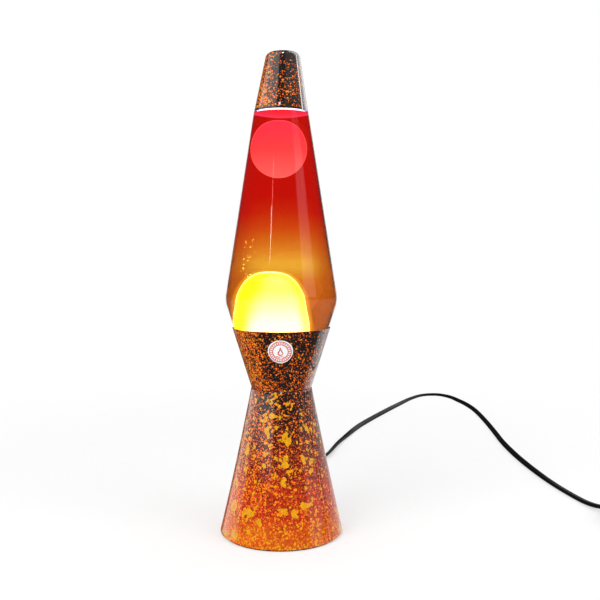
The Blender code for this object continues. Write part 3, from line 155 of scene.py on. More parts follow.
class LavaLampSizes(bpy.types.PropertyGroup):
    cone_top: length_prop("Cone height", "Height of the lower cone's top edge", 122.9)
    cone_foot_radius: length_prop("Cone foot radius", "Outer radius of the lower cone at the floor", 52.3)
    cone_top_radius: length_prop("Cone top radius", "Outer radius of the lower cone at the waist", 25.5)
    cone_hollow: length_prop("Cone hollow", "How far the cone's side dips inside a straight line", 0.72)
    cone_rim: length_prop("Cone rim lift", "Height of the cone's rim above the floor", 1.3)
    waist_opening: length_prop("Waist opening", "Radius of the hole that the bulb passes", 20.3)
    cup_bottom: length_prop("Cup foot", "Height of the cup's lower edge", 123.2)
    cup_top: length_prop("Cup top", "Height of the cup's upper rim", 173.7)
    cup_bottom_radius: length_prop("Cup foot radius", "Outer radius of the cup at the waist", 25.2)
    cup_top_radius: length_prop("Cup top radius", "Outer radius of the cup at its rim", 41.1)
    bottle_foot: length_prop("Bottle foot", "Height of the bottle's underside in the cup", 141.0)
    bottle_shoulder: length_prop("Bottle shoulder", "Height where the bottle's two tapers would meet", 196.6)
    bottle_seat: length_prop("Cap seat", "Height of the step in the neck that carries the cap", 351.6)
    bottle_seat_radius: length_prop("Cap seat radius", "Radius of the glass at the cap's seat", 22.65)
    glass_wall: length_prop("Glass wall", "Thickness of the bottle's wall", 2.5)
    liquid_level: length_prop("Liquid level", "Height of the liquid's surface", 350.1)
    wax_level: length_prop("Wax level", "Height of the pooled wax", 169.0)
    dome_radius: length_prop("Dome radius", "Radius of the wax dome", 24.2)
    blob_radius: length_prop("Blob radius", "Radius of the floating wax", 17.0)
    cap_foot_radius: length_prop("Cap foot radius", "Radius of the cap at its lower edge", 22.25)
    cap_top_radius: length_prop("Cap top radius", "Radius of the cap at its top", 13.6)
    height: length_prop("Height", "Height of the whole lamp", 400.0)
    cord_width: length_prop("Cord width", "Width of the flat two-core cord", 6.2)
    cord_thickness: length_prop("Cord thickness", "Thickness of the flat two-core cord", 3.6)
    round_steps: IntProperty(name="Round steps", description="Facets around each turned piece", default=160, min=24)


class LavaLampColours(bpy.types.PropertyGroup):
    paint_dark: colour_prop("Dark paint", "Ground colour of the paint at the top", 0.012, 0.007, 0.007)
    paint_maroon: colour_prop("Maroon paint", "Ground colour half-way down the cone", 0.12, 0.006, 0.004)
    paint_red: colour_prop("Red paint", "Ground colour low on the cone", 0.4, 0.017, 0.002)
    paint_orange: colour_prop("Orange paint", "Ground colour at the foot of the cone", 0.5, 0.066, 0.003)
    speck: colour_prop("Specks", "Colour of the fine specks", 0.58, 0.1, 0.004)
    fleck: colour_prop("Flecks", "Colour of the bright flecks and blotches", 0.7, 0.32, 0.003)
    # The liquid is dyed red, as liquid_top. From liquid_red to liquid_foot its colours, lighter towards the wax dome,
    # are painted light from the bulb below; liquid_side is painted shade at the liquid's sides.
    liquid_top: colour_prop("Liquid, top", "Colour seen through the liquid near the cap", 0.6, 0.004, 0.0005)
    liquid_red: colour_prop("Liquid, red", "Colour under the red top", 0.63, 0.02, 0.0015)
    liquid_middle: colour_prop("Liquid, middle", "Colour seen half-way up", 0.68, 0.066, 0.003)
    liquid_orange: colour_prop("Liquid, orange", "Colour over the amber zone", 0.74, 0.15, 0.0075)
    liquid_amber: colour_prop("Liquid, amber", "Colour over the glow", 0.84, 0.27, 0.02)
    liquid_glow: colour_prop("Liquid, glow", "Colour just above the wax dome", 0.93, 0.47, 0.035)
    liquid_side: colour_prop("Liquid, side", "Colour at the sides, half-way up", 0.6, 0.045, 0.003)
    liquid_foot: colour_prop("Liquid, foot", "Colour beside the wax dome", 0.56, 0.115, 0.007)
    # The wax colours are light, not paint: the wax and the floating wax glow as painted light for the bulb's light
    # through them. The wax is white where it is brightest, over the bulb, and yellow on its dimmer side; the floating
    # wax is lightest at its underside.
    wax_lit_white: colour_prop("Wax, brightest lit", "Light of the wax over the bulb", 1.0, 0.97, 1.0)
    wax_crown: colour_prop("Wax crown", "Light of the wax at the top of the dome", 1.0, 0.95, 0.12)
    wax_yellow: colour_prop("Yellow wax", "Light of the wax at its cooler side", 1.0, 0.95, 0.006)
    blob_top: colour_prop("Blob, top", "Light of the floating wax at its top", 0.27, 0.06, 0.6)
    blob_middle: colour_prop("Blob, middle", "Light of the floating wax half-way up", 0.29, 0.13, 0.5)
    blob_foot: colour_prop("Blob, foot", "Light of the floating wax at its underside", 0.29, 0.36, 1.0)
    label_ink: colour_prop("Label ink", "Print on the round label", 0.6, 0.03, 0.014)
    cord_black: colour_prop("Cord", "Colour of the cord, switch and plug", 0.004, 0.004, 0.005)


def sizes():
    return bpy.context.scene.lava_lamp_sizes


def colours():
    return bpy.context.scene.lava_lamp_colours


# Meshes from arrays.


def mesh_object(name, points, faces, smooth=True, sharp_deg=38):
    """A mesh object at the origin from an (n, 3) array and lists of faces, its faces turned outwards."""
    mesh = bpy.data.meshes.new(name)
    mesh.from_pydata(points.tolist(), [], [face for part in faces for face in part.tolist()])
    mesh.validate()
    mesh.calc_loop_triangles()
    corners = np.empty(len(mesh.loop_triangles) * 3, np.int32)
    mesh.loop_triangles.foreach_get("vertices", corners)
    a, b, c = (points[corners.reshape(-1, 3)[:, side]] for side in range(3))
    if np.einsum("ij,ij->i", a, np.cross(b, c)).sum() < 0:
        mesh.flip_normals()
    if smooth:
        mesh.shade_smooth()
        mesh.set_sharp_from_angle(angle=radians(sharp_deg))
    obj = bpy.data.objects.new(name, mesh)
    bpy.context.scene.collection.objects.link(obj)
    return obj


def grid_faces(rows, columns, wrap_rows=False):
    """Quads between neighbouring points of a grid, whose last column is next to its first."""
    i = np.arange(rows if wrap_rows else rows - 1)[:, None]
    j = np.arange(columns)[None, :]
    down = (i + 1) % rows
    along = (j + 1) % columns
    corners = [i * columns + j, down * columns + j, down * columns + along, i * columns + along]
    return np.stack([np.broadcast_to(c, (i.size, j.size)) for c in corners], axis=-1).reshape(-1, 4)


def fan_faces(ring_start, count, pole):
    """Triangles from a ring of points to one pole."""
    j = np.arange(count)
    return np.stack([ring_start + j, ring_start + (j + 1) % count, np.full(count, pole)], axis=1)


def ring_points(r, z, steps, x=0.0):
    """A ring of points (x + r cos u, r sin u, z) for each row of r and z."""
    u = np.linspace(0, TURN, steps, endpoint=False)
    return np.stack([x + r * np.cos(u), r * np.sin(u), z + 0 * u], axis=-1)


def closed_rings(name, rings, poles, **settings):
    """A skin over rows of ring points, closed by a pole before the first ring and one after the last."""
    rows, columns = rings.shape[:2]
    count = rows * columns
    faces = [grid_faces(rows, columns), fan_faces(0, columns, count)]
    faces += [fan_faces(count - columns, columns, count + 1)]
    return mesh_object(name, np.vstack([rings.reshape(-1, 3), poles]), faces, **settings)


def spun(name, r, z, steps, x=0.0):
    """Surface of revolution about an upright axis at x, from rows of radii and heights that start and end on
    that axis."""
    rings = ring_points(r, z, steps, x)
    return closed_rings(name, rings[1:-1], rings[[0, -1], 0])


def lathe(name, profile, closed=False):
    """Surface of revolution about the lamp's axis. A closed profile goes round a hollow middle, and an open one
    starts and ends on the axis."""
    r, z = profile[:, :1], profile[:, 1:]
    steps = sizes().round_steps
    if closed:
        return mesh_object(name, ring_points(r, z, steps).reshape(-1, 3), [grid_faces(len(profile), steps, True)])
    return spun(name, r, z, steps)


def rounded(corners, steps=6, closed=False):
    """Points along a line through corners (a, b, radius), each corner replaced by an arc that touches both sides."""
    corners = np.array(corners, float)
    count = len(corners)
    points = []
    for index in range(count):
        here = corners[index, :2]
        radius = corners[index, 2]
        at_end = index in (0, count - 1) and not closed
        if radius <= 0 or at_end:
            points.append(here[None])
            continue
        before = corners[index - 1, :2] - here
        after = corners[(index + 1) % count, :2] - here
        long_before, long_after = np.linalg.norm(before), np.linalg.norm(after)
        before, after = before / long_before, after / long_after
        half = np.arccos(np.clip(before @ after, -1, 1)) / 2
        reach = min(radius / tan(half), 0.49 * long_before, 0.49 * long_after)
        t = np.linspace(0, 1, steps + 1)[:, None]
        start, end = here + before * reach, here + after * reach
        centre = here + (before + after) / np.linalg.norm(before + after) * reach / cos(half)
        r1, r2 = start - centre, end - centre
        sweep = np.arccos(np.clip(r1 @ r2 / (np.linalg.norm(r1) * np.linalg.norm(r2)), -1, 1))
        blend = (np.sin((1 - t) * sweep) * r1 + np.sin(t * sweep) * r2) / np.sin(sweep)
        points.append(centre + blend)
    return np.vstack(points)


def smooth_path(points, spacing):
    """Evenly spaced points on the Catmull-Rom curve through the given points, and their distances along it."""
    points = np.asarray(points, float)
    ends = np.vstack([2 * points[0] - points[1], points, 2 * points[-1] - points[-2]])
    a, b, c, d = (ends[k : len(ends) - 3 + k, None] for k in range(4))
    t = np.linspace(0, 1, 24, endpoint=False)[None, :, None]
    cubic, square = -a + 3 * b - 3 * c + d, 2 * a - 5 * b + 4 * c - d
    dense = 0.5 * (2 * b + (c - a) * t + square * t**2 + cubic * t**3)
    dense = np.vstack([dense.reshape(-1, 3), points[-1:]])
    along = np.concatenate([[0], np.cumsum(np.linalg.norm(np.diff(dense, axis=0), axis=1))])
    even = np.linspace(0, along[-1], max(2, round(along[-1] / spacing)) + 1)
    return np.stack([np.interp(even, along, dense[:, k]) for k in range(3)], axis=1), even


def cord_section(width, thickness, count=28):
    """Section of a flat two-core cord: two round cores side by side, with a shallow groove along each flat."""
    a = np.linspace(0, TURN, count, endpoint=False)
    x = np.sign(np.cos(a)) * np.abs(np.cos(a)) ** 0.8 * width / 2
    groove = 1 - 0.16 * np.exp(-((x / (0.1 * width)) ** 2))
    return x, np.sign(np.sin(a)) * np.abs(np.sin(a)) ** 0.75 * thickness / 2 * groove


def sweep(name, path, section, turn):
    """The section carried along the path. At each point it stands square to the path, its first axis level and
    its second axis up, and is then turned about the path by the angle that turn gives there."""
    tangent = np.gradient(path, axis=0)
    tangent /= np.linalg.norm(tangent, axis=1, keepdims=True)
    side = np.cross(tangent, [0, 0, 1])
    side /= np.linalg.norm(side, axis=1, keepdims=True)
    up = np.cross(side, tangent)
    c, s = np.cos(turn)[:, None], np.sin(turn)[:, None]
    first, second = side * c + up * s, up * c - side * s
    x, y = section
    rings = path[:, None] + first[:, None] * x[None, :, None] + second[:, None] * y[None, :, None]
    return closed_rings(name, rings, path[[0, -1]], sharp_deg=60)


# Shapes that several pieces share: each gives the radius at a height, moved inwards square to the wall.


def cone_radius(z, inward=0.0):
    """Straight taper from foot to waist, less a shallow parabola that is deepest half-way up."""
    s = sizes()
    t = z / s.cone_top
    line = s.cone_foot_radius + (s.cone_top_radius - s.cone_foot_radius) * t
    return line - 4 * s.cone_hollow * t * (1 - t) - inward


def taper(z, low_z, low_radius, slope, inward):
    """Straight taper: the radius at one height, and its growth for each unit of height."""
    return low_radius + slope * (z - low_z) - inward * sqrt(1 + slope**2)


def cup_radius(z, inward=0.0):
    s = sizes()
    slope = (s.cup_top_radius - s.cup_bottom_radius) / (s.cup_top - s.cup_bottom)
    return taper(z, s.cup_bottom, s.cup_bottom_radius, slope, inward)


def cap_radius(z, inward=0.0):
    s = sizes()
    foot = s.bottle_seat + GAP
    return taper(z, foot, s.cap_foot_radius, (s.cap_top_radius - s.cap_foot_radius) / (s.height - foot), inward)


def bottle_low_radius(z, inward=0.0):
    """The bottle's lower taper, parallel to the cup's wall."""
    return cup_radius(z, inward + BOTTLE_OFF_CUP)


def bottle_high_slope():
    s = sizes()
    return (s.bottle_seat_radius - bottle_low_radius(s.bottle_shoulder)) / (s.bottle_seat - s.bottle_shoulder)


def bottle_high_radius(z, inward=0.0):
    """The bottle's upper taper, from its shoulder to the cap's seat."""
    s = sizes()
    return taper(z, s.bottle_seat, s.bottle_seat_radius, bottle_high_slope(), inward)


def shoulder_z(inward=0.0):
    """Height where the two tapers meet: the difference of the two lines at the floor, over that of their slopes."""
    low = bottle_low_radius(0, inward)
    low_slope = bottle_low_radius(1, inward) - low
    return (bottle_high_radius(0, inward) - low) / (low_slope - bottle_high_slope())


# Materials.


def folded(operation):
    """A method that joins any number of values by one operation, from left to right."""

    def join(self, *values):
        return reduce(lambda a, b: self.math(operation, a, b), values)

    return join


class Nodes:
    """Adds nodes to a tree, each input given as a plain value or as another node's socket."""

    def __init__(self, tree):
        self.tree = tree

    def give(self, socket, value):
        if isinstance(value, bpy.types.NodeSocket):
            self.tree.links.new(value, socket)
        else:
            socket.default_value = (*value, 1) if socket.type == "RGBA" else value

    def add(self, kind, inputs=None, **settings):
        node = self.tree.nodes.new(kind)
        for name, value in settings.items():
            setattr(node, name, value)
        for key, value in (inputs or {}).items():
            self.give(node.inputs[key], value)
        return node

    def math(self, operation, *values, clamp=False):
        return self.add("ShaderNodeMath", dict(enumerate(values)), operation=operation, use_clamp=clamp).outputs[0]

    times, plus, minus, most = map(folded, ("MULTIPLY", "ADD", "SUBTRACT", "MAXIMUM"))

    def scaled(self, value, factor, offset):
        return self.math("MULTIPLY_ADD", value, factor, offset)

    def vector(self, operation, *vectors, **inputs):
        inputs = {**dict(enumerate(vectors)), **inputs}
        return self.add("ShaderNodeVectorMath", inputs, operation=operation).outputs[0]

    def remap(self, value, low, high, new_low=0.0, new_high=1.0, kind="SMOOTHSTEP"):
        inputs = {"Value": value, "From Min": low, "From Max": high, "To Min": new_low, "To Max": new_high}
        return self.add("ShaderNodeMapRange", inputs, interpolation_type=kind).outputs[0]

    def mix(self, mask, a, b):
        return self.add("ShaderNodeMix", {0: mask, 6: a, 7: b}, data_type="RGBA").outputs[2]

    def ramp(self, value, stops):
        node = self.add("ShaderNodeValToRGB", {0: value})
        elements = node.color_ramp.elements
        while len(elements) < len(stops):
            elements.new(0.5)
        for element, (place, colour) in zip(elements, stops):
            element.position = place
            element.color = (*colour, 1)
        return node.outputs[0]

    def noise(self, vector, scale, detail=2.0, roughness=0.5):
        inputs = {"Vector": vector, "Scale": scale, "Detail": detail, "Roughness": roughness}
        return self.add("ShaderNodeTexNoise", inputs).outputs[0]

    def place(self):
        return self.add("ShaderNodeTexCoord").outputs["Object"]

    def split(self, vector):
        return self.add("ShaderNodeSeparateXYZ", {0: vector}).outputs

    def shift(self, vector, offset, stretch=(1, 1, 1)):
        return self.add("ShaderNodeMapping", {"Vector": vector, "Location": offset, "Scale": stretch}).outputs[0]

    def bump(self, height, strength, distance):
        return self.add("ShaderNodeBump", {"Height": height, "Strength": strength, "Distance": distance}).outputs[0]

    def facing(self):
        """Nought where a surface faces the viewer and one at its outline."""
        return self.add("ShaderNodeLayerWeight", {"Blend": 0.5}).outputs["Facing"]

    def echo(self):
        """One where a ray has already crossed the bottle and turned back, so that mirrored wax can look like the
        pale surroundings, and nought where it is seen at once."""
        return self.math("GREATER_THAN", self.add("ShaderNodeLightPath").outputs["Ray Depth"], 3.5)

    def use(self, tree, **inputs):
        """A node group's outputs, with its inputs named in lower case."""
        inputs = {name.capitalize(): value for name, value in inputs.items()}
        return self.add("ShaderNodeGroup", inputs, node_tree=tree).outputs


class Material(Nodes):
    """A new material and the nodes of its tree."""

    def __init__(self, name):
        self.made = bpy.data.materials.new(name)
        self.made.use_nodes = True
        super().__init__(self.made.node_tree)
        self.shader = self.tree.nodes["Principled BSDF"]

    def surface(self, **inputs):
        """Gives each named socket of the shader a value or a link."""
        for key, value in inputs.items():
            self.give(self.shader.inputs[key.replace("_", " ")], value)

    def paint_glow(self, colour, strength):
        """Painted light: the surface glows though it is no lamp, too softly to be sampled as one."""
        self.surface(Emission_Color=colour, Emission_Strength=strength)
        self.made.cycles.emission_sampling = "NONE"


def node_group(name, inputs, outputs, fill):
    """Builds a shader node group once: fill gets its nodes and input sockets, and returns the output sockets. A
    vector input has no default."""
    known = bpy.data.node_groups.get(name)
    if known:
        return known
    tree = bpy.data.node_groups.new(name, "ShaderNodeTree")
    tree.interface.new_socket("Vector", in_out="INPUT", socket_type="NodeSocketVector")
    for label, default in inputs.items():
        tree.interface.new_socket(label, in_out="INPUT", socket_type="NodeSocketFloat").default_value = default
    for label in outputs:
        tree.interface.new_socket(label, in_out="OUTPUT", socket_type="NodeSocketFloat")
    entry, leave = tree.nodes.new("NodeGroupInput"), tree.nodes.new("NodeGroupOutput")
    for socket, label in zip(fill(Nodes(tree), entry.outputs), outputs):
        tree.links.new(socket, leave.inputs[label])
    return tree


def splatter():
    """Sprayed spots: each cell of a jittered grid may hold one round spot. A random value of the cell decides
    whether it is there, another its size, and a noise bends its outline."""

    def fill(n, inputs):
        vector, scale = inputs["Vector"], inputs["Scale"]
        stir = n.add("ShaderNodeTexNoise", {"Vector": vector, "Scale": scale, "Detail": 2.0}).outputs["Color"]
        off = n.vector("SUBTRACT", stir, (0.5, 0.5, 0.5))
        off = n.vector("SCALE", off, Scale=n.math("DIVIDE", inputs["Ragged"], scale))
        cells = n.add("ShaderNodeTexVoronoi", {"Vector": n.vector("ADD", vector, off), "Scale": scale})
        chance, size, _ = n.split(cells.outputs["Color"])
        there = n.math("LESS_THAN", chance, inputs["Coverage"])
        edge = n.minus(n.scaled(size, 0.34, 0.2), cells.outputs["Distance"])
        return [n.times(there, n.remap(edge, -0.05, 0.05)), size]

    return node_group("Sprayed spots", {"Scale": 500.0, "Coverage": 0.3, "Ragged": 1.0}, ("Mask", "Pick"), fill)


def handling():
    """Faint smears and dust: two noises, fine and broad, that shift roughness between two values."""

    def fill(n, inputs):
        broad = n.noise(inputs["Vector"], n.times(inputs["Scale"], 0.12), 3.0)
        fine = n.noise(inputs["Vector"], inputs["Scale"], 4.0, 0.6)
        both = n.scaled(broad, 0.6, n.times(fine, 0.4))
        return [n.remap(both, 0.36, 0.62, inputs["Low"], inputs["High"]), fine]

    return node_group("Handling marks", {"Scale": 300.0, "Low": 0.2, "High": 0.3}, ("Roughness", "Grain"), fill)


def plain_finish(name, colour, low, high, metallic=0.0, scale=300.0, grain=0.05, tint=0.25, **extra):
    """A moulded, cast or rolled surface: mottled colour, uneven roughness and a fine grain."""
    n = Material(name)
    place = n.place()
    marks = n.use(handling(), vector=place, scale=scale, low=low, high=high)
    darker = tuple(value * (1 - tint) for value in colour)
    lighter = tuple(min(1.0, value * (1 + tint)) for value in colour)
    shade = n.mix(n.noise(place, scale * 0.3, 3.0), darker, lighter)
    normal = n.bump(marks["Grain"], grain, 0.3 * MM)
    n.surface(Base_Color=shade, Roughness=marks["Roughness"], Metallic=metallic, Normal=normal, **extra)
    return n.made


def painted(name, low_z, high_z, seed, ground, specks, options):
    """Sprayed paint under clear lacquer. Up the piece, a ramp gives the ground colour, and others the share of
    dark specks, fine specks, bright flecks and, if there are any, blotches, with more of them in the middle of
    the front. Towards the left side there are more fine specks and flecks, fewer dark specks and brighter fine
    specks: partly the spray's own pattern and partly painted light, the side that the light falls on made
    lighter. A rim at the foot can stay dark."""
    c = colours()
    n = Material(name)
    place = n.place()
    x, _, z = n.split(place)
    moved = n.shift(place, (seed, 2 * seed, 0))
    straight = n.remap(z, low_z, high_z, kind="LINEAR")
    height = n.math("ADD", straight, n.scaled(n.noise(moved, 45.0, 4.0, 0.6), 0.34, -0.17), clamp=True)
    # Painted light, partly real: side rises towards the left, where it adds fine specks and flecks, takes away dark
    # specks and brightens the fine specks, so that the side the light falls on looks lighter.
    left = options.get("left", 0.3)
    side = n.remap(x, *options.get("dense_lit_left", (0.004, -0.034)))
    patchy = n.minus(n.noise(moved, 75.0, 3.0), 0.5)

    def share(kind, patches, more):
        level = n.ramp(straight, [(at, (v, v, v)) for at, v in specks.get(kind, ((0.0, 0.0), (1.0, 0.0)))])
        return n.scaled(side, more, n.scaled(patchy, patches, level))

    def spots(scale, coverage, move, ragged=1.0):
        vector = n.shift(moved, (move, 0.4 * move, 0))
        return n.use(splatter(), vector=vector, scale=scale, coverage=coverage, ragged=ragged)

    def tone(colour, by, low, high):
        return n.mix(by, tuple(v * low for v in colour), tuple(min(1.0, v * high) for v in colour))

    shaded = n.ramp(height, ground)
    amount = share("dark", 1.0, -0.1)
    black = n.most(spots(480.0, amount, 0.3)["Mask"], spots(800.0, amount, 1.3)["Mask"])
    shaded = n.mix(n.times(black, 0.85), shaded, c.paint_dark)
    amount = share("fine", 1.2, 0.8 * left)
    coarse, small = spots(620.0, amount, 0.7), spots(1050.0, amount, 1.9)
    grains = n.most(coarse["Mask"], small["Mask"])
    shaded = n.mix(grains, shaded, tone(c.speck, n.plus(coarse["Pick"], n.times(side, 0.5)), 0.35, 1.8))
    drops = spots(520.0, share("flecks", 0.9, left), 2.3)
    shaded = n.mix(n.times(drops["Mask"], 0.92), shaded, n.mix(drops["Pick"], c.speck, c.fleck))
    relief = n.times(grains, 0.5)
    if "blotches" in specks:
        column = n.times(n.remap(n.math("ABSOLUTE", n.plus(x, 0.003)), 0.016, 0.005), options["middle"])
        amount = n.plus(share("blotches", 0.5, 0.05), n.times(column, n.remap(straight, 0.55, 0.8)))
        large, splashes = spots(104.0, amount, 3.1, 1.7), spots(240.0, n.times(amount, 0.8), 4.1, 1.5)
        bright = n.most(large["Mask"], splashes["Mask"])
        thin = n.remap(n.noise(moved, 900.0), 0.3, 0.42, 0.3, 1.0)
        shaded = n.mix(n.times(bright, thin), shaded, tone(c.fleck, n.noise(moved, 260.0, 3.0), 0.6, 1.3))
        relief = n.plus(relief, bright)
    if "rim" in options:
        rim = options["rim"]
        shaded = n.mix(n.remap(z, low_z + rim, low_z + 0.6 * rim), shaded, c.paint_dark)
    marks = n.use(handling(), vector=place, scale=220.0, low=0.3, high=0.42)
    n.surface(Base_Color=shaded, Roughness=marks["Roughness"], Normal=n.bump(relief, 0.08, 0.05 * MM))
    n.surface(Coat_Weight=1.0, Coat_Roughness=0.02, Specular_IOR_Level=0.1)
    return n.made


def liquid_dye_and_glow():
    """Dyed liquid, red near the cap. Down towards the wax dome its colour turns orange and yellow: painted light
    from the bulb below. It is lit more brightly in the middle of what is seen, with painted shade at its sides.
    """
    c = colours()
    n = Material("Dyed liquid with painted glow")
    height = n.remap(n.split(n.place())[2], 0.17, 0.30, kind="LINEAR")
    side = [(0.0, c.liquid_foot), (0.38, c.liquid_foot), (0.6, c.liquid_side), (0.74, c.liquid_top)]
    side += [(1.0, c.liquid_top)]
    middle = [(0.0, c.liquid_foot), (0.3, c.liquid_orange), (0.42, c.liquid_glow), (0.5, c.liquid_amber)]
    middle += [(0.577, c.liquid_orange), (0.65, c.liquid_middle), (0.75, c.liquid_red), (0.85, c.liquid_top)]
    # Painted light and shade: face on, the colour follows the middle ramp up to the painted glow over the dome; at the
    # outline it follows the darker side ramp.
    tint = n.mix(n.remap(n.facing(), 0.015, 0.22), n.ramp(height, middle), n.ramp(height, side))
    n.surface(Base_Color=tint, Roughness=0.0, Transmission_Weight=1.0, IOR=1.36)
    return n.made


def assign(obj, made):
    obj.data.materials.clear()
    obj.data.materials.append(made)
    return obj


def keep(obj, body, slot, *nodes):
    """Makes a new piece ride on a body in place of its CAD nodes."""
    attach(obj, body)
    if nodes:
        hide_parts(*nodes)
    return obj


def submerge(obj, made, slot, *nodes, body="bottle"):
    """Puts a piece in the bottle, and keeps its glow off the surfaces around it."""
    keep(assign(obj, made), body, slot, *nodes)
    obj.visible_diffuse = False


# Painted shells.


class BuildShells(bpy.types.Operator):
    """Lower cone, upper cup and top cap, with their sprayed paint"""

    bl_idname = "lava_lamp.shells"
    bl_label = "Painted shells"

    def execute(self, context):
        self.cone()
        self.cup()
        self.cap()
        return {"FINISHED"}

    @staticmethod
    def cone():
        s, c = sizes(), colours()
        opening, top, rim = s.waist_opening, s.cone_top, s.cone_rim
        heights = np.linspace(top, rim, 40)
        outer = np.stack([cone_radius(heights), heights], axis=1)[1:-1]
        inner = np.stack([cone_radius(heights, CONE_WALL), heights], axis=1)[::-1][1:-2]
        crown = rounded([(opening, top, 0), (cone_radius(top), top, 0.9 * MM), (*outer[0], 0)])
        edges = [(cone_radius(rim, inward), rim, 0.35 * MM) for inward in (0.0, CONE_WALL)]
        foot = rounded([(*outer[-1], 0), *edges, (*inner[0], 0)])
        ledge = top - CONE_WALL
        under = [(cone_radius(ledge, CONE_WALL), ledge), (opening, ledge)]
        cone = lathe("painted_cone", np.vstack([crown[:-1], outer, foot[1:-1], inner, under]), closed=True)
        ground = [(0.0, c.paint_orange), (0.1, c.paint_orange), (0.2, c.paint_red), (0.36, c.paint_red)]
        ground += [(0.55, c.paint_maroon), (0.85, c.paint_dark)]
        specks = {
            "dark": [(0.0, 0.02), (0.2, 0.08), (0.36, 0.5), (0.6, 0.7), (1.0, 0.3)],
            "fine": [(0.0, 0.7), (0.2, 0.5), (0.5, 0.55), (0.8, 0.5), (1.0, 0.32)],
            "flecks": [(0.0, 1.0), (0.14, 0.8), (0.3, 0.25), (0.6, 0.1), (1.0, 0.05)],
            "blotches": [(0.0, 0.16), (0.2, 0.18), (0.5, 0.32), (0.75, 0.24), (1.0, 0.04)],
        }
        paint = painted("Cone paint", 0.0, 0.123, 0.13, ground, specks, {"middle": 0.5})
        keep(assign(cone, paint), "base", "painted_shell", "lower_cone")

    @staticmethod
    def cup():
        s, c = sizes(), colours()
        opening, bottom, top = s.waist_opening, s.cup_bottom, s.cup_top
        floor = bottom + CUP_WALL
        corners = [(cup_radius(top), top, 0.34 * MM), (cup_radius(bottom), bottom, 0.9 * MM)]
        corners += [(opening, bottom, 0), (opening, floor, 0), (cup_radius(floor, CUP_WALL), floor, 0.5 * MM)]
        corners += [(cup_radius(top, CUP_WALL), top, 0.34 * MM)]
        cup = lathe("painted_cup", rounded(corners, closed=True), closed=True)
        ground = [(0.0, c.paint_maroon), (0.12, c.paint_dark), (1.0, c.paint_dark)]
        specks = {
            "fine": [(0.0, 0.7), (0.3, 0.45), (0.75, 0.3), (1.0, 0.22)],
            "flecks": [(0.0, 0.12), (0.4, 0.04), (1.0, 0.02)],
        }
        options = {"left": 0.95, "dense_lit_left": (-0.008, -0.03)}
        paint = painted("Cup paint", 0.123, 0.174, 0.57, ground, specks, options)
        keep(assign(cup, paint), "base", "painted_shell", "upper_cup")

    @classmethod
    def cap(cls):
        s, c = sizes(), colours()
        foot, top = s.bottle_seat + GAP, s.height
        under = top - CAP_WALL
        corners = [(0, top, 0), (cap_radius(top), top, 5 * MM), (cap_radius(foot), foot, 0.25 * MM)]
        corners += [(cap_radius(foot, CAP_WALL), foot, 0.25 * MM), (cap_radius(under, CAP_WALL), under, 4.4 * MM)]
        corners += [(0, under, 0)]
        cap = lathe("painted_cap", rounded(corners, steps=10))
        cls.lean(cap, foot, CAP_LEAN)
        ground = [(0.0, c.paint_dark), (1.0, c.paint_dark)]
        specks = {
            "fine": [(0.0, 0.42), (0.4, 0.3), (0.8, 0.24), (1.0, 0.16)],
            "flecks": [(0.0, 0.14), (0.3, 0.06), (1.0, 0.03)],
        }
        options = {"left": 0.95, "dense_lit_left": (-0.003, -0.018), "rim": 2.0 * MM}
        paint = painted("Cap paint", 0.352, 0.4, 1.31, ground, specks, options)
        keep(assign(cap, paint), "cap", "painted_shell", "top_cap")
        cls.line_inside(cap)

    @staticmethod
    def lean(obj, foot, slope):
        """Shears the piece sideways: each point moves by the slope times its height over the foot."""
        points = np.empty(len(obj.data.vertices) * 3, np.float32)
        obj.data.vertices.foreach_get("co", points)
        points = points.reshape(-1, 3)
        points[:, 0] += slope * (points[:, 2] - foot)
        obj.data.vertices.foreach_set("co", points.ravel())
        obj.data.update()

    @staticmethod
    def line_inside(obj):
        """Gives the faces that look towards the axis a white lining, which glows faintly: painted light."""
        glow = {"Emission_Color": (1, 1, 1), "Emission_Strength": 0.9}
        lining = plain_finish("White lining with painted glow", (0.85, 0.85, 0.85), 0.4, 0.5, grain=0.02, tint=0.03, **glow)
        lining.cycles.emission_sampling = "NONE"
        obj.data.materials.append(lining)
        ceiling = 0.38
        for face in obj.data.polygons:
            centre, normal = face.center, face.normal
            outward = centre.x * normal.x + centre.y * normal.y
            face.material_index = int(outward < -1e-4 and centre.z < ceiling)


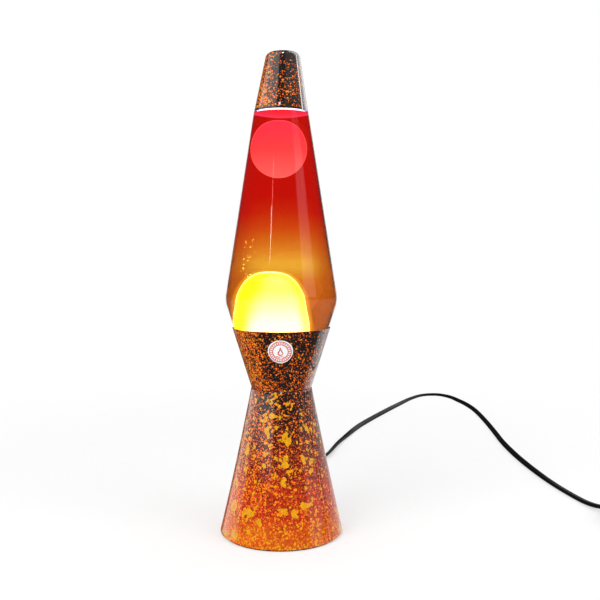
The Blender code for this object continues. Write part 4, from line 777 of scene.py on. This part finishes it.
class BuildLabel(bpy.types.Operator):
    """Round printed label on the front of the cup"""

    bl_idname = "lava_lamp.label"
    bl_label = "Round label"

    def execute(self, context):
        ring_count, steps = 12, 72
        r = np.linspace(0, LABEL_RADIUS, ring_count + 1)[1:, None]
        u = np.linspace(0, TURN, steps, endpoint=False)[None, :]
        front = self.wrapped(r * np.cos(u), r * np.sin(u), LABEL_FRONT)
        back = self.wrapped(r[-1:] * np.cos(u), r[-1:] * np.sin(u), LABEL_BACK)
        middle = np.zeros(1)
        poles = np.vstack([self.wrapped(middle, middle, lift) for lift in (LABEL_FRONT, LABEL_BACK)])
        label = closed_rings("round_label", np.vstack([front, back]), poles)
        keep(assign(label, self.print_finish()), "base", "white_label", "badge")
        return {"FINISHED"}

    @staticmethod
    def wrapped(across, up, lift):
        """A flat point (across, up) laid on the cup's front: its height shifts along the wall, and its distance
        across becomes an angle about the axis."""
        z = LABEL_Z + up / WALL_PER_HEIGHT
        radius = cup_radius(z, -lift)
        angle = across / cup_radius(LABEL_Z)
        return np.stack([radius * np.sin(angle), -radius * np.cos(angle), z], axis=-1)

    @staticmethod
    def print_finish():
        """White label with two thin rings, a band of fine ticks between them and a falling drop in the middle,
        all in millimetres from the label's middle."""
        n = Material("Printed label")
        x, _, z = n.split(n.place())
        along_wall = round(WALL_PER_HEIGHT, 3)
        across = n.times(x, 1000.0)
        up = n.scaled(z, 1000 * along_wall, -LABEL_Z / MM * along_wall)

        def distance(a, b):
            return n.math("SQRT", n.plus(n.times(a, a), n.times(b, b)))

        def line(value, centre, half):
            return n.math("LESS_THAN", n.math("ABSOLUTE", n.minus(value, centre)), half)

        radius = distance(across, up)
        rings = n.most(line(radius, 8.7, 0.42), line(radius, 6.2, 0.4))
        ticks = n.math("GREATER_THAN", n.math("SINE", n.times(n.math("ARCTAN2", up, across), 26.0)), 0.0)
        ticks = n.times(ticks, line(radius, 7.45, 0.7))
        point = n.minus(n.most(n.scaled(up, -0.36, 1.6), 0.0), n.math("ABSOLUTE", across))
        ball = n.minus(2.3, distance(across, n.plus(up, 1.2)))
        outline = line(n.most(n.times(point, n.math("GREATER_THAN", up, -0.6)), ball), 0.5, 0.5)
        wave = n.times(n.math("SINE", n.times(across, 1.7)), 0.35)
        waves = n.times(line(n.minus(up, wave), -4.4, 0.4), n.math("LESS_THAN", radius, 5.6))
        ink = n.times(n.most(rings, ticks, outline, waves), n.remap(n.noise(n.place(), 900.0), 0.3, 0.6, 0.7, 1.0))
        marks = n.use(handling(), vector=n.place(), scale=500.0, low=0.25, high=0.4)
        n.surface(Base_Color=n.mix(ink, (0.8, 0.82, 0.82), colours().label_ink))
        n.surface(Roughness=marks["Roughness"], Normal=n.bump(ink, 0.1, 0.02 * MM))
        return n.made


# Bottle and what is in it.


class BuildBottle(bpy.types.Operator):
    """Glass bottle, dyed liquid, risen wax, floating wax and bubbles"""

    bl_idname = "lava_lamp.bottle"
    bl_label = "Bottle, liquid and wax"

    def execute(self, context):
        for build in (self.glass, self.liquid, self.wax, self.halo, self.blob, self.bubbles):
            build()
        return {"FINISHED"}

    @staticmethod
    def glass():
        s = sizes()
        wall, seat, foot = s.glass_wall, s.bottle_seat, s.bottle_foot
        neck, floor, punt = seat + NECK_HEIGHT, foot + wall, foot + 1.2 * MM
        lip = neck + COLLAR_HEIGHT
        inside, step = cap_radius(neck, NECK_OFF_CAP), cap_radius(seat + GAP, NECK_OFF_CAP)
        high, low = shoulder_z(), shoulder_z(wall)
        corners = [(MOUTH_RADIUS, lip, 1 * MM), (COLLAR_RADIUS, lip, 1 * MM), (COLLAR_RADIUS, neck + 2 * MM, 1.5 * MM)]
        corners += [(inside, neck, 3 * MM), (step, seat, 0.4 * MM), (s.bottle_seat_radius, seat, 0.7 * MM)]
        corners += [(bottle_low_radius(high), high, SHOULDER_ROUND), (bottle_low_radius(foot), foot, 5 * MM)]
        corners += [(16 * MM, foot, 2 * MM), (10 * MM, punt, 4 * MM), (0, punt, 0), (0, floor, 0)]
        corners += [(bottle_low_radius(floor, wall), floor, 4 * MM)]
        corners += [(bottle_low_radius(low, wall), low, SHOULDER_ROUND_INSIDE)]
        corners += [(bottle_high_radius(seat, wall), seat, 3 * MM), (inside - wall, neck - 2 * MM, 3 * MM)]
        corners += [(MOUTH_RADIUS, neck + 1 * MM, 1.5 * MM)]
        profile = rounded(corners, steps=10, closed=True)
        first = np.argmin(np.hypot(profile[:, 0], profile[:, 1] - foot - wall))
        n = Material("Bottle glass")
        ripple = n.bump(n.noise(n.shift(n.place(), (0, 0, 0), (1, 1, 0.35)), 55.0, 1.0), 0.05, 0.4 * MM)
        n.surface(Base_Color=(1, 1, 1), Roughness=0.0, Transmission_Weight=1.0, IOR=1.45, Normal=ripple)
        submerge(lathe("clear_bottle", np.roll(profile, -first, axis=0)), n.made, "glass", "glass_bottle")

    @staticmethod
    def liquid():
        """The liquid fills the bottle and reaches a little into the glass. Its surface is a shallow bowl: under
        its edge it dips by a share of the depth that falls with the square of the radius."""
        s = sizes()
        skin = s.glass_wall - LIQUID_OVERLAP
        level, foot, low = s.liquid_level, s.bottle_foot + skin, shoulder_z(skin)
        rim, edge = level + LIQUID_CLIMB, bottle_high_radius(level, skin) - 0.02 * MM
        t = np.linspace(0, 1, 14)
        surface = np.stack([edge * t, rim - LIQUID_DIP * (1 - t**2)], axis=1)
        corners = [(edge, rim, 0), (bottle_high_radius(low, skin), low, SHOULDER_ROUND_INSIDE)]
        corners += [(bottle_low_radius(foot, skin), foot, 4 * MM), (0, foot, 0)]
        liquid = lathe("dyed_liquid", np.vstack([surface, rounded(corners, steps=10)[1:]]))
        submerge(liquid, liquid_dye_and_glow(), "liquid", "liquid")
        # Painted reflection: the surface of the liquid glows, in one colour towards its front and another towards its
        # back, for the lit wax that it mirrors from below.
        film = Material("Liquid surface")
        ripple = film.noise(film.place(), 90.0)
        near = film.remap(film.plus(film.times(ripple, 0.004), film.split(film.place())[1]), -0.016, 0.003)
        film.surface(Base_Color=(0.5, 0.02, 0.03), Roughness=0.3)
        film.paint_glow(film.mix(near, (0.27, 0.05, 0.35), (0.24, 0.13, 1.0)), 5.0)
        liquid.data.materials.append(film.made)
        for face in liquid.data.polygons:
            face.material_index = int(face.normal.z > 0.6 and face.center.z > level - 8 * MM)

    @staticmethod
    def halo():
        """Painted glow in the liquid round the wax: a dome-shaped shell, brightest just outside the wax's outline."""
        t = np.linspace(0, pi / 2, 40)[:, None]
        r = sizes().dome_radius * HALO_WIDER * np.sin(t) ** DOME_POWER
        z = HALO_Z + HALO_HEIGHT * np.cos(t)
        halo = spun("painted_glow_shell", np.vstack([r, [[0]]]), np.vstack([z, [[HALO_Z]]]), 96, DOME_X)
        n = Material("Painted glow round the wax")
        facing = n.facing()
        glow = n.math("POWER", n.remap(facing, 1.0, 0.46, kind="LINEAR"), 2.0)
        front = n.minus(1.0, n.add("ShaderNodeNewGeometry").outputs["Backfacing"])
        glow = n.times(glow, n.remap(facing, 0.18, 0.4), front, 0.75, n.minus(1.0, n.echo()))
        n.surface(Base_Color=(0.0, 0.0, 0.0), Roughness=1.0, Specular_IOR_Level=0.0, Alpha=glow)
        n.paint_glow((1.0, 0.9, 0.08), 1.9)
        submerge(halo, n.made, "liquid")

    @staticmethod
    def wax():
        """The pooled wax with a dome on it. The dome's radius is a power of the sine of the angle from its top,
        widened where it meets the pool, and a slight wave runs round it."""
        s, c = sizes(), colours()
        skin, dome = s.glass_wall + 0.5 * MM, s.dome_radius
        level, floor = s.wax_level, s.bottle_foot + skin
        heel = floor + 2 * MM
        edge = bottle_low_radius(level, skin)
        t = np.linspace(0, 1, 44) * pi / 2
        z = [*(DOME_Z + DOME_HEIGHT * np.cos(t)), level + 1.2 * MM, level + 0.3 * MM, level, level, heel, floor, floor]
        r = [*(dome * np.sin(t) ** DOME_POWER), dome + 0.6 * MM, dome + 2.6 * MM, edge - 1 * MM, edge]
        r += [bottle_low_radius(heel, skin), bottle_low_radius(floor, skin) - 2 * MM, 0]
        r, z = np.array(r)[:, None], np.array(z)[:, None]
        x = np.full(len(z), DOME_X)[:, None]
        x[-5:] = 0
        u = np.linspace(0, TURN, s.round_steps, endpoint=False)
        wave = 1 + 0.012 * np.sin(3 * u + 0.7)[None, :] * np.clip((z - level) / DOME_HEIGHT, 0, 1)
        pool = spun("risen_wax", r * wave, z, s.round_steps, x)
        # Painted light: the wax glows though it is no lamp, for the bulb's light through it: white over the bulb and
        # yellow towards its dimmer left side.
        n = Material("Glowing wax")
        x, _, z = n.split(n.place())
        up = n.remap(z, 0.168, 0.222, kind="LINEAR")
        dimmer_left = n.scaled(up, -0.02, n.times(n.noise(n.place(), 30.0), 0.01))
        dimmer_left = n.remap(n.plus(x, dimmer_left), -0.014, -0.028)
        light = n.mix(dimmer_left, n.mix(n.remap(up, 0.15, 0.75), c.wax_lit_white, c.wax_crown), c.wax_yellow)
        # Painted highlight: a bright rim along the wax's outline.
        light = n.mix(n.remap(n.facing(), 0.55, 0.95, 0.0, 0.9), light, c.wax_lit_white)
        n.surface(Base_Color=n.mix(dimmer_left, (0.8, 0.75, 0.5), (0.8, 0.7, 0.1)), Roughness=0.4)
        n.paint_glow(n.mix(n.echo(), light, (0.05, 0.03, 0.01)), 12.0)
        submerge(pool, n.made, "wax_yellow", "wax_pool")

    @staticmethod
    def blob():
        """A ball of wax: its radius is the sine of the angle from its top, fuller above the middle and with a
        slight wave round it."""
        s, c = sizes(), colours()
        steps, rows = s.round_steps, 72
        v = np.linspace(0, pi, rows)[:, None]
        u = np.linspace(0, TURN, steps, endpoint=False)[None, :]
        fuller = np.where(v < pi / 2, 0.82, 1.0)
        r = s.blob_radius * np.sin(v) ** fuller * (1 + 0.01 * np.sin(2 * u + 1.0) * np.sin(v))
        blob = spun("floating_wax", r, BLOB_Z + BLOB_HALF * np.cos(v), steps, BLOB_X)
        # Painted light: the floating wax glows though it is no lamp. Its light and its colour are lighter at the
        # underside, where the bulb lights it from below, and a painted highlight runs along its outline.
        n = Material("Floating wax")
        up = n.remap(n.split(n.place())[2], BLOB_Z - BLOB_HALF, BLOB_Z + BLOB_HALF, kind="LINEAR")
        light = n.ramp(up, [(0.0, c.blob_foot), (0.5, c.blob_middle), (1.0, c.blob_top)])
        rim = n.times(n.remap(n.facing(), 0.72, 0.95), n.remap(up, 0.2, 0.8, 0.15, 0.9))
        light = n.mix(n.echo(), n.mix(rim, light, (0.3, 0.5, 1.0)), (0.12, 0.12, 0.12))
        n.surface(Base_Color=n.mix(up, (0.8, 0.4, 0.35), (0.75, 0.2, 0.25)), Roughness=0.35)
        n.paint_glow(light, 5.0)
        submerge(blob, n.made, "wax_pink", "wax_blob", body="rising_wax")

    @staticmethod
    def bubbles():
        """Small spheres scattered by a seeded generator near the glass above the dome's left side."""
        rng = np.random.default_rng(11)
        count, rows, columns = 34, 6, 8
        z = rng.uniform(0.214, 0.247, count)
        angle = rng.normal(radians(-138), 0.15, count)
        spread = bottle_high_radius(z, sizes().glass_wall) * rng.uniform(0.8, 0.95, count)
        centres = np.stack([spread * np.cos(angle), spread * np.sin(angle), z], axis=1)
        radii = rng.uniform(0.2, 0.56, count) ** 1.5 * MM
        v = np.linspace(0, pi, rows)[:, None]
        ball = ring_points(np.sin(v), np.cos(v), columns)
        unit = np.vstack([ball[1:-1].reshape(-1, 3), ball[[0, -1], 0]])
        body = len(unit) - 2
        fans = np.vstack([fan_faces(0, columns, body), fan_faces(body - columns, columns, body + 1)])
        points = (centres[:, None] + unit[None] * radii[:, None, None]).reshape(-1, 3)
        offsets = np.arange(count)[:, None, None] * len(unit)
        quads = grid_faces(rows - 2, columns)
        faces = [(quads[None] + offsets).reshape(-1, 4), (fans[None] + offsets).reshape(-1, 3)]
        # Painted highlight: the bubbles glow as if they caught the bulb's light.
        n = Material("Bubbles")
        n.surface(Base_Color=(0.9, 0.8, 0.5), Roughness=0.1)
        n.paint_glow((0.9, 0.95, 0.6), 5.0)
        submerge(mesh_object("bubbles", points, faces), n.made, "glass")


# Cord.


def level_heading(angle):
    return np.array([cos(angle), sin(angle), 0.0])


def gland_point(outward):
    """A point in millimetres on the strain relief's axis, which stands square to the cone's wall."""
    low, high = GLAND_Z - 1, GLAND_Z + 1
    lean = atan((cone_radius(low * MM) - cone_radius(high * MM)) / (2 * MM))
    return np.array([0, cone_radius(GLAND_Z * MM) / MM + outward * cos(lean), GLAND_Z + outward * sin(lean)])


class BuildCord(bpy.types.Operator):
    """Flat two-core cord from the strain relief to the switch, and on through its coil to the plug"""

    bl_idname = "lava_lamp.cord"
    bl_label = "Mains cord"

    def execute(self, context):
        s = sizes()
        surface = {"scale": 900.0, "grain": 0.02, "tint": 0.1, "Specular_IOR_Level": 0.03}
        made = plain_finish("Cord jacket", tuple(colours().cord_black), 0.3, 0.38, **surface)
        section = cord_section(s.cord_width, s.cord_thickness)
        along = level_heading(SWITCH_HEADING)
        start = [gland_point(30.6), gland_point(44)]
        end = [SWITCH_ENTRY - 9 * along, SWITCH_ENTRY - 0.6 * along]
        path, run = smooth_path(np.vstack([start, ROUTE, end]) * MM, 4 * MM)
        turn = self.twist(run)
        rest = self.resting_height(section, turn)
        ease = np.clip((path[:, 2] - FLOOR_Z * MM) / (4 * MM), 0, 1)
        path[:, 2] = rest + ease * np.maximum(path[:, 2] - rest, 0)
        cord = sweep("mains_cord_jacket", path, section, turn)
        keep(assign(cord, made), "base", "black_plastic", "mains_cord")

        path = self.coil_path()
        turn = np.clip((np.linalg.norm(path - path[0], axis=1) - 0.012) / 0.02, 0, 1) * pi / 2
        turn *= np.clip((np.linalg.norm(path - path[-1], axis=1) - 0.004) / 0.03, 0, 1)
        path[:, 2] = np.maximum(path[:, 2], self.resting_height(section, turn))
        lead = sweep("plug_lead_jacket", path, section, turn)
        keep(assign(lead, made), "base", "black_plastic", "cord_link", "cord_coil", "cord_tail")
        return {"FINISHED"}

    @staticmethod
    def twist(run):
        """How far the flat cord is turned about its path at each distance along it, evened out with a running
        mean: it rolls from one edge to the other on its way out, lies flat in the far bend, and rolls again."""
        turn = np.interp(run, TWIST_AT, np.radians(TWIST))
        padded = np.pad(turn, 7, mode="edge")
        return np.convolve(padded, np.full(15, 1 / 15), mode="valid")

    @staticmethod
    def resting_height(section, turn):
        """Height of the cord's middle over the floor where its section, turned by this angle, just clears it."""
        x, y = (part[:, None] for part in section)
        return np.abs(x * np.sin(turn) + y * np.cos(turn)).max(axis=0) + 0.1 * MM

    @staticmethod
    def coil_path():
        """From the switch down to the floor, then a flat spiral whose radius shrinks evenly with its angle, and
        at last up over the turns and out to the plug."""
        along, out = level_heading(SWITCH_HEADING), level_heading(PLUG_HEADING)
        leave = SWITCH_ENTRY + along * (SWITCH_LENGTH + 0.6)
        centre = SWITCH_ENTRY * (1, 1, 0) + along * (SWITCH_LENGTH + COIL_AHEAD)
        centre = centre + level_heading(SWITCH_HEADING + pi / 2) * COIL_BESIDE

        def round_centre(radius, angle, z):
            return centre + np.stack([radius * np.cos(angle), radius * np.sin(angle), z], axis=1)

        angle = np.linspace(SWITCH_HEADING - pi / 2, COIL_END, COIL_POINTS)
        spiral = round_centre(np.linspace(COIL_OUTER, COIL_INNER, COIL_POINTS), angle, np.full(COIL_POINTS, 3.3))
        reach, lift = np.array([30.5, 31.5, 36.0, 44.0]), np.array([10.2, 10.6, 10.6, 9.8])
        tail = round_centre(reach, np.radians([-44.0, -30.0, -12.0, 4.0]), lift)
        start = [leave, leave + 7 * along, leave + 20 * along - (0, 0, 4.6)]
        path = np.vstack([start, spiral[1:], tail, PLUG_ENTRY - 7 * out, PLUG_ENTRY - 0.4 * out]) * MM
        return smooth_path(path, 3 * MM)[0]


# Pieces that keep their CAD shape.


def numbered(stem, count):
    return [f"{stem}_{k + 1}" for k in range(count)]


class DressFrame(bpy.types.Operator):
    """Finishes for the pieces that keep their CAD shape: base plate, lampholder, bulb, wiring, switch and plug"""

    bl_idname = "lava_lamp.frame_finishes"
    bl_label = "Finishes of inner pieces"

    def execute(self, context):
        black = tuple(colours().cord_black)
        self.dress(["foot_ring"], "Foam ring", (0.012, 0.012, 0.012), 0.75, 0.95, scale=900.0, grain=0.5)
        self.dress(["base_plate"], "Black plate", (0.02, 0.02, 0.02), 0.35, 0.5, scale=500.0, grain=0.1)
        steel = numbered("plate_lug", 3) + numbered("plate_screw", 3) + numbered("waist_screw", 3)
        steel += numbered("waist_nut", 3) + numbered("bracket_screw", 2) + numbered("switch_screw", 2)
        steel += ["lampholder_bracket", "nipple_nut", "cord_clip", "clip_screw", "bottle_closure", "wire_coil"]
        metal = {"metallic": 1.0, "scale": 260.0, "grain": 0.08}
        self.dress(steel, "Zinc plated steel", (0.55, 0.55, 0.57), 0.28, 0.45, **metal)
        brass = ["lampholder_nipple", "lampholder_thread", "lampholder_contact", "bulb_screw_cap"]
        brass += numbered("terminal_screw", 2) + numbered("plug_pin", 2)
        self.dress(brass, "Brass", (0.78, 0.55, 0.22), 0.2, 0.38, metallic=1.0, grain=0.06)
        self.dress(["lampholder_body"], "Black phenolic", (0.018, 0.015, 0.014), 0.2, 0.35, scale=400.0, grain=0.06)
        moulded = ["strain_relief", "cord_tie", "switch_lower", "switch_upper", "switch_rocker", "plug_body"]
        self.dress(moulded, "Moulded black plastic", black, 0.38, 0.52, scale=700.0, grain=0.12)
        self.dress(["inner_cord"], "Inner cord jacket", black, 0.3, 0.42, scale=600.0)
        self.dress(["closure_liner"], "Sealing liner", (0.05, 0.05, 0.05), 0.5, 0.7)
        self.dress(["live_wire"], "Brown insulation", (0.14, 0.05, 0.02), 0.35, 0.5)
        self.dress(["neutral_wire"], "Blue insulation", (0.02, 0.08, 0.4), 0.35, 0.5)
        self.dress(["bulb_contact"], "Solder", (0.6, 0.6, 0.6), 0.3, 0.45, metallic=1.0)
        glow = {"Emission_Color": (1.0, 0.86, 0.6), "Emission_Strength": 1.2}
        bulb = ["bulb_glass", "bulb_stem"]
        self.dress(bulb, "Frosted bulb glass", (0.9, 0.88, 0.82), 0.25, 0.4, grain=0.02, tint=0.04, **glow)
        self.dress(["bulb_filament"], "Filament", (0.5, 0.5, 0.5), 0.4, 0.5, metallic=1.0)
        return {"FINISHED"}

    @staticmethod
    def dress(nodes, *finish, **settings):
        """Gives CAD nodes that stay in view one plain finish."""
        made = plain_finish(*finish, **settings)
        for name in nodes:
            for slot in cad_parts[name].material_slots:
                slot.material = made


# Stage.


class BuildStage(bpy.types.Operator):
    """Camera, pale floor, soft lights and the surroundings that the lacquer and the glass reflect"""

    bl_idname = "lava_lamp.stage"
    bl_label = "Camera and studio"

    def execute(self, context):
        self.camera()
        self.floor()
        self.world()
        self.light("key_light", (-0.9, -1.1, 1.3), (1.1, 1.1), 17.0)
        self.light("fill_light", (1.1, -0.7, 0.9), (0.9, 0.9), 7.0)
        bpy.context.scene.view_settings.view_transform = "Standard"
        return {"FINISHED"}

    @staticmethod
    def camera():
        data = bpy.data.cameras.new("camera")
        data.sensor_width = 36.0
        data.lens = CAMERA_LENS
        camera = bpy.data.objects.new("camera", data)
        camera.location = CAMERA_SPOT
        camera.rotation_euler = (radians(90 - CAMERA_DIP), 0, 0)
        bpy.context.scene.collection.objects.link(camera)
        bpy.context.scene.camera = camera

    @staticmethod
    def floor():
        """A disc whose shade runs into the white surroundings with its distance from the lamp."""
        steps, reach = 64, np.array([0.05, 0.4, 1.2, 4.0])[:, None]
        points = np.vstack([ring_points(reach, 0 * reach, steps).reshape(-1, 3), [(0, 0, 0)]])
        faces = [grid_faces(len(reach), steps), fan_faces(0, steps, len(points) - 1)]
        floor = mesh_object("floor", points, faces, smooth=False)
        n = Material("Pale floor")
        n.surface(Base_Color=(0.86, 0.86, 0.86), Roughness=0.6, Specular_IOR_Level=0.2)
        glow = n.add("ShaderNodeEmission", {"Color": (1, 1, 1), "Strength": 1.0})
        away = n.add("ShaderNodeVectorMath", {0: n.place()}, operation="LENGTH").outputs["Value"]
        inputs = {0: n.remap(away, 0.1, 0.8, 0.45), 1: n.shader.outputs[0], 2: glow.outputs[0]}
        n.give(n.tree.nodes["Material Output"].inputs["Surface"], n.add("ShaderNodeMixShader", inputs).outputs[0])
        assign(floor, n.made)
        floor.visible_glossy = False

    @staticmethod
    def light(name, spot, size, power):
        """A soft light that points at the middle of the lamp and that nothing mirrors."""
        data = bpy.data.lights.new(name, "AREA")
        data.shape = "RECTANGLE"
        data.size, data.size_y = size
        data.energy = power
        lamp = bpy.data.objects.new(name, data)
        lamp.location = spot
        lamp.rotation_euler = (Vector((0, 0, 0.2)) - lamp.location).to_track_quat("-Z", "Y").to_euler()
        lamp.visible_glossy = False
        lamp.visible_transmission = False
        lamp.visible_camera = False
        bpy.context.scene.collection.objects.link(lamp)

    @staticmethod
    def world():
        """White surroundings. Mirrored rays see softboxes instead, each a window in compass angle and height:
        one set in the glass, which mirrors sharply, and another in the lacquer."""
        world = bpy.data.worlds.new("studio")
        world.use_nodes = True
        bpy.context.scene.world = world
        n = Nodes(world.node_tree)
        x, y, z = n.split(n.add("ShaderNodeTexCoord").outputs["Generated"])
        angle = n.times(n.math("ARCTAN2", x, n.times(y, -1.0)), 180 / pi)
        bow = n.times(n.math("COSINE", n.times(angle, pi / 360)), -LEAN)
        height = n.scaled(n.math("ARCSINE", z), 180 / pi, bow)

        def window(value, low, high, edge):
            rise = n.remap(value, low - edge, low + edge)
            return n.times(rise, n.remap(value, high - edge, high + edge, 1.0, 0.0))

        def lit(total, boxes):
            for left, right, bottom, top, edge, level in boxes:
                inside = n.times(window(angle, left, right, edge), window(height, bottom, top, edge))
                total = n.scaled(inside, level, total)
            return total

        def background(strength):
            return n.add("ShaderNodeBackground", {"Color": (1, 1, 1), "Strength": strength}).outputs[0]

        def choose(mask, no, yes):
            return n.add("ShaderNodeMixShader", {0: mask, 1: no, 2: yes}).outputs[0]

        path = n.add("ShaderNodeLightPath").outputs
        in_lacquer, in_glass = lit(0.07, LACQUER_SOFTBOXES), lit(0.04, GLASS_SOFTBOXES)
        mirrored = background(n.scaled(path["Is Singular Ray"], n.minus(in_glass, in_lacquer), in_lacquer))
        seen = choose(n.math("GREATER_THAN", path["Glossy Depth"], 0.5), background(1.0), mirrored)
        scattered = choose(path["Is Diffuse Ray"], seen, background(0.8))
        n.give(world.node_tree.nodes["World Output"].inputs["Surface"], scattered)


class LavaLampPanel(bpy.types.Panel):
    bl_label = "Lava lamp"
    bl_idname = "VIEW3D_PT_lava_lamp"
    bl_space_type = "VIEW_3D"
    bl_region_type = "UI"
    bl_category = "Lava lamp"

    def draw(self, context):
        for operator in OPERATORS:
            self.layout.operator(operator.bl_idname)
        for group in (sizes(), colours()):
            box = self.layout.box()
            for name in group.__annotations__:
                box.prop(group, name)


OPERATORS = (BuildStage, BuildCord, BuildShells, BuildLabel, BuildBottle, DressFrame)
CLASSES = (LavaLampSizes, LavaLampColours, *OPERATORS, LavaLampPanel)


def register():
    for each in CLASSES:
        bpy.utils.register_class(each)
    bpy.types.Scene.lava_lamp_sizes = PointerProperty(type=LavaLampSizes)
    bpy.types.Scene.lava_lamp_colours = PointerProperty(type=LavaLampColours)


def unregister():
    del bpy.types.Scene.lava_lamp_colours
    del bpy.types.Scene.lava_lamp_sizes
    for each in reversed(CLASSES):
        bpy.utils.unregister_class(each)


def main():
    register()
    bpy.ops.lava_lamp.stage()
    bpy.ops.lava_lamp.cord()
    bpy.ops.lava_lamp.shells()
    bpy.ops.lava_lamp.label()
    bpy.ops.lava_lamp.bottle()
    bpy.ops.lava_lamp.frame_finishes()


if __name__ == "__main__":
    main()
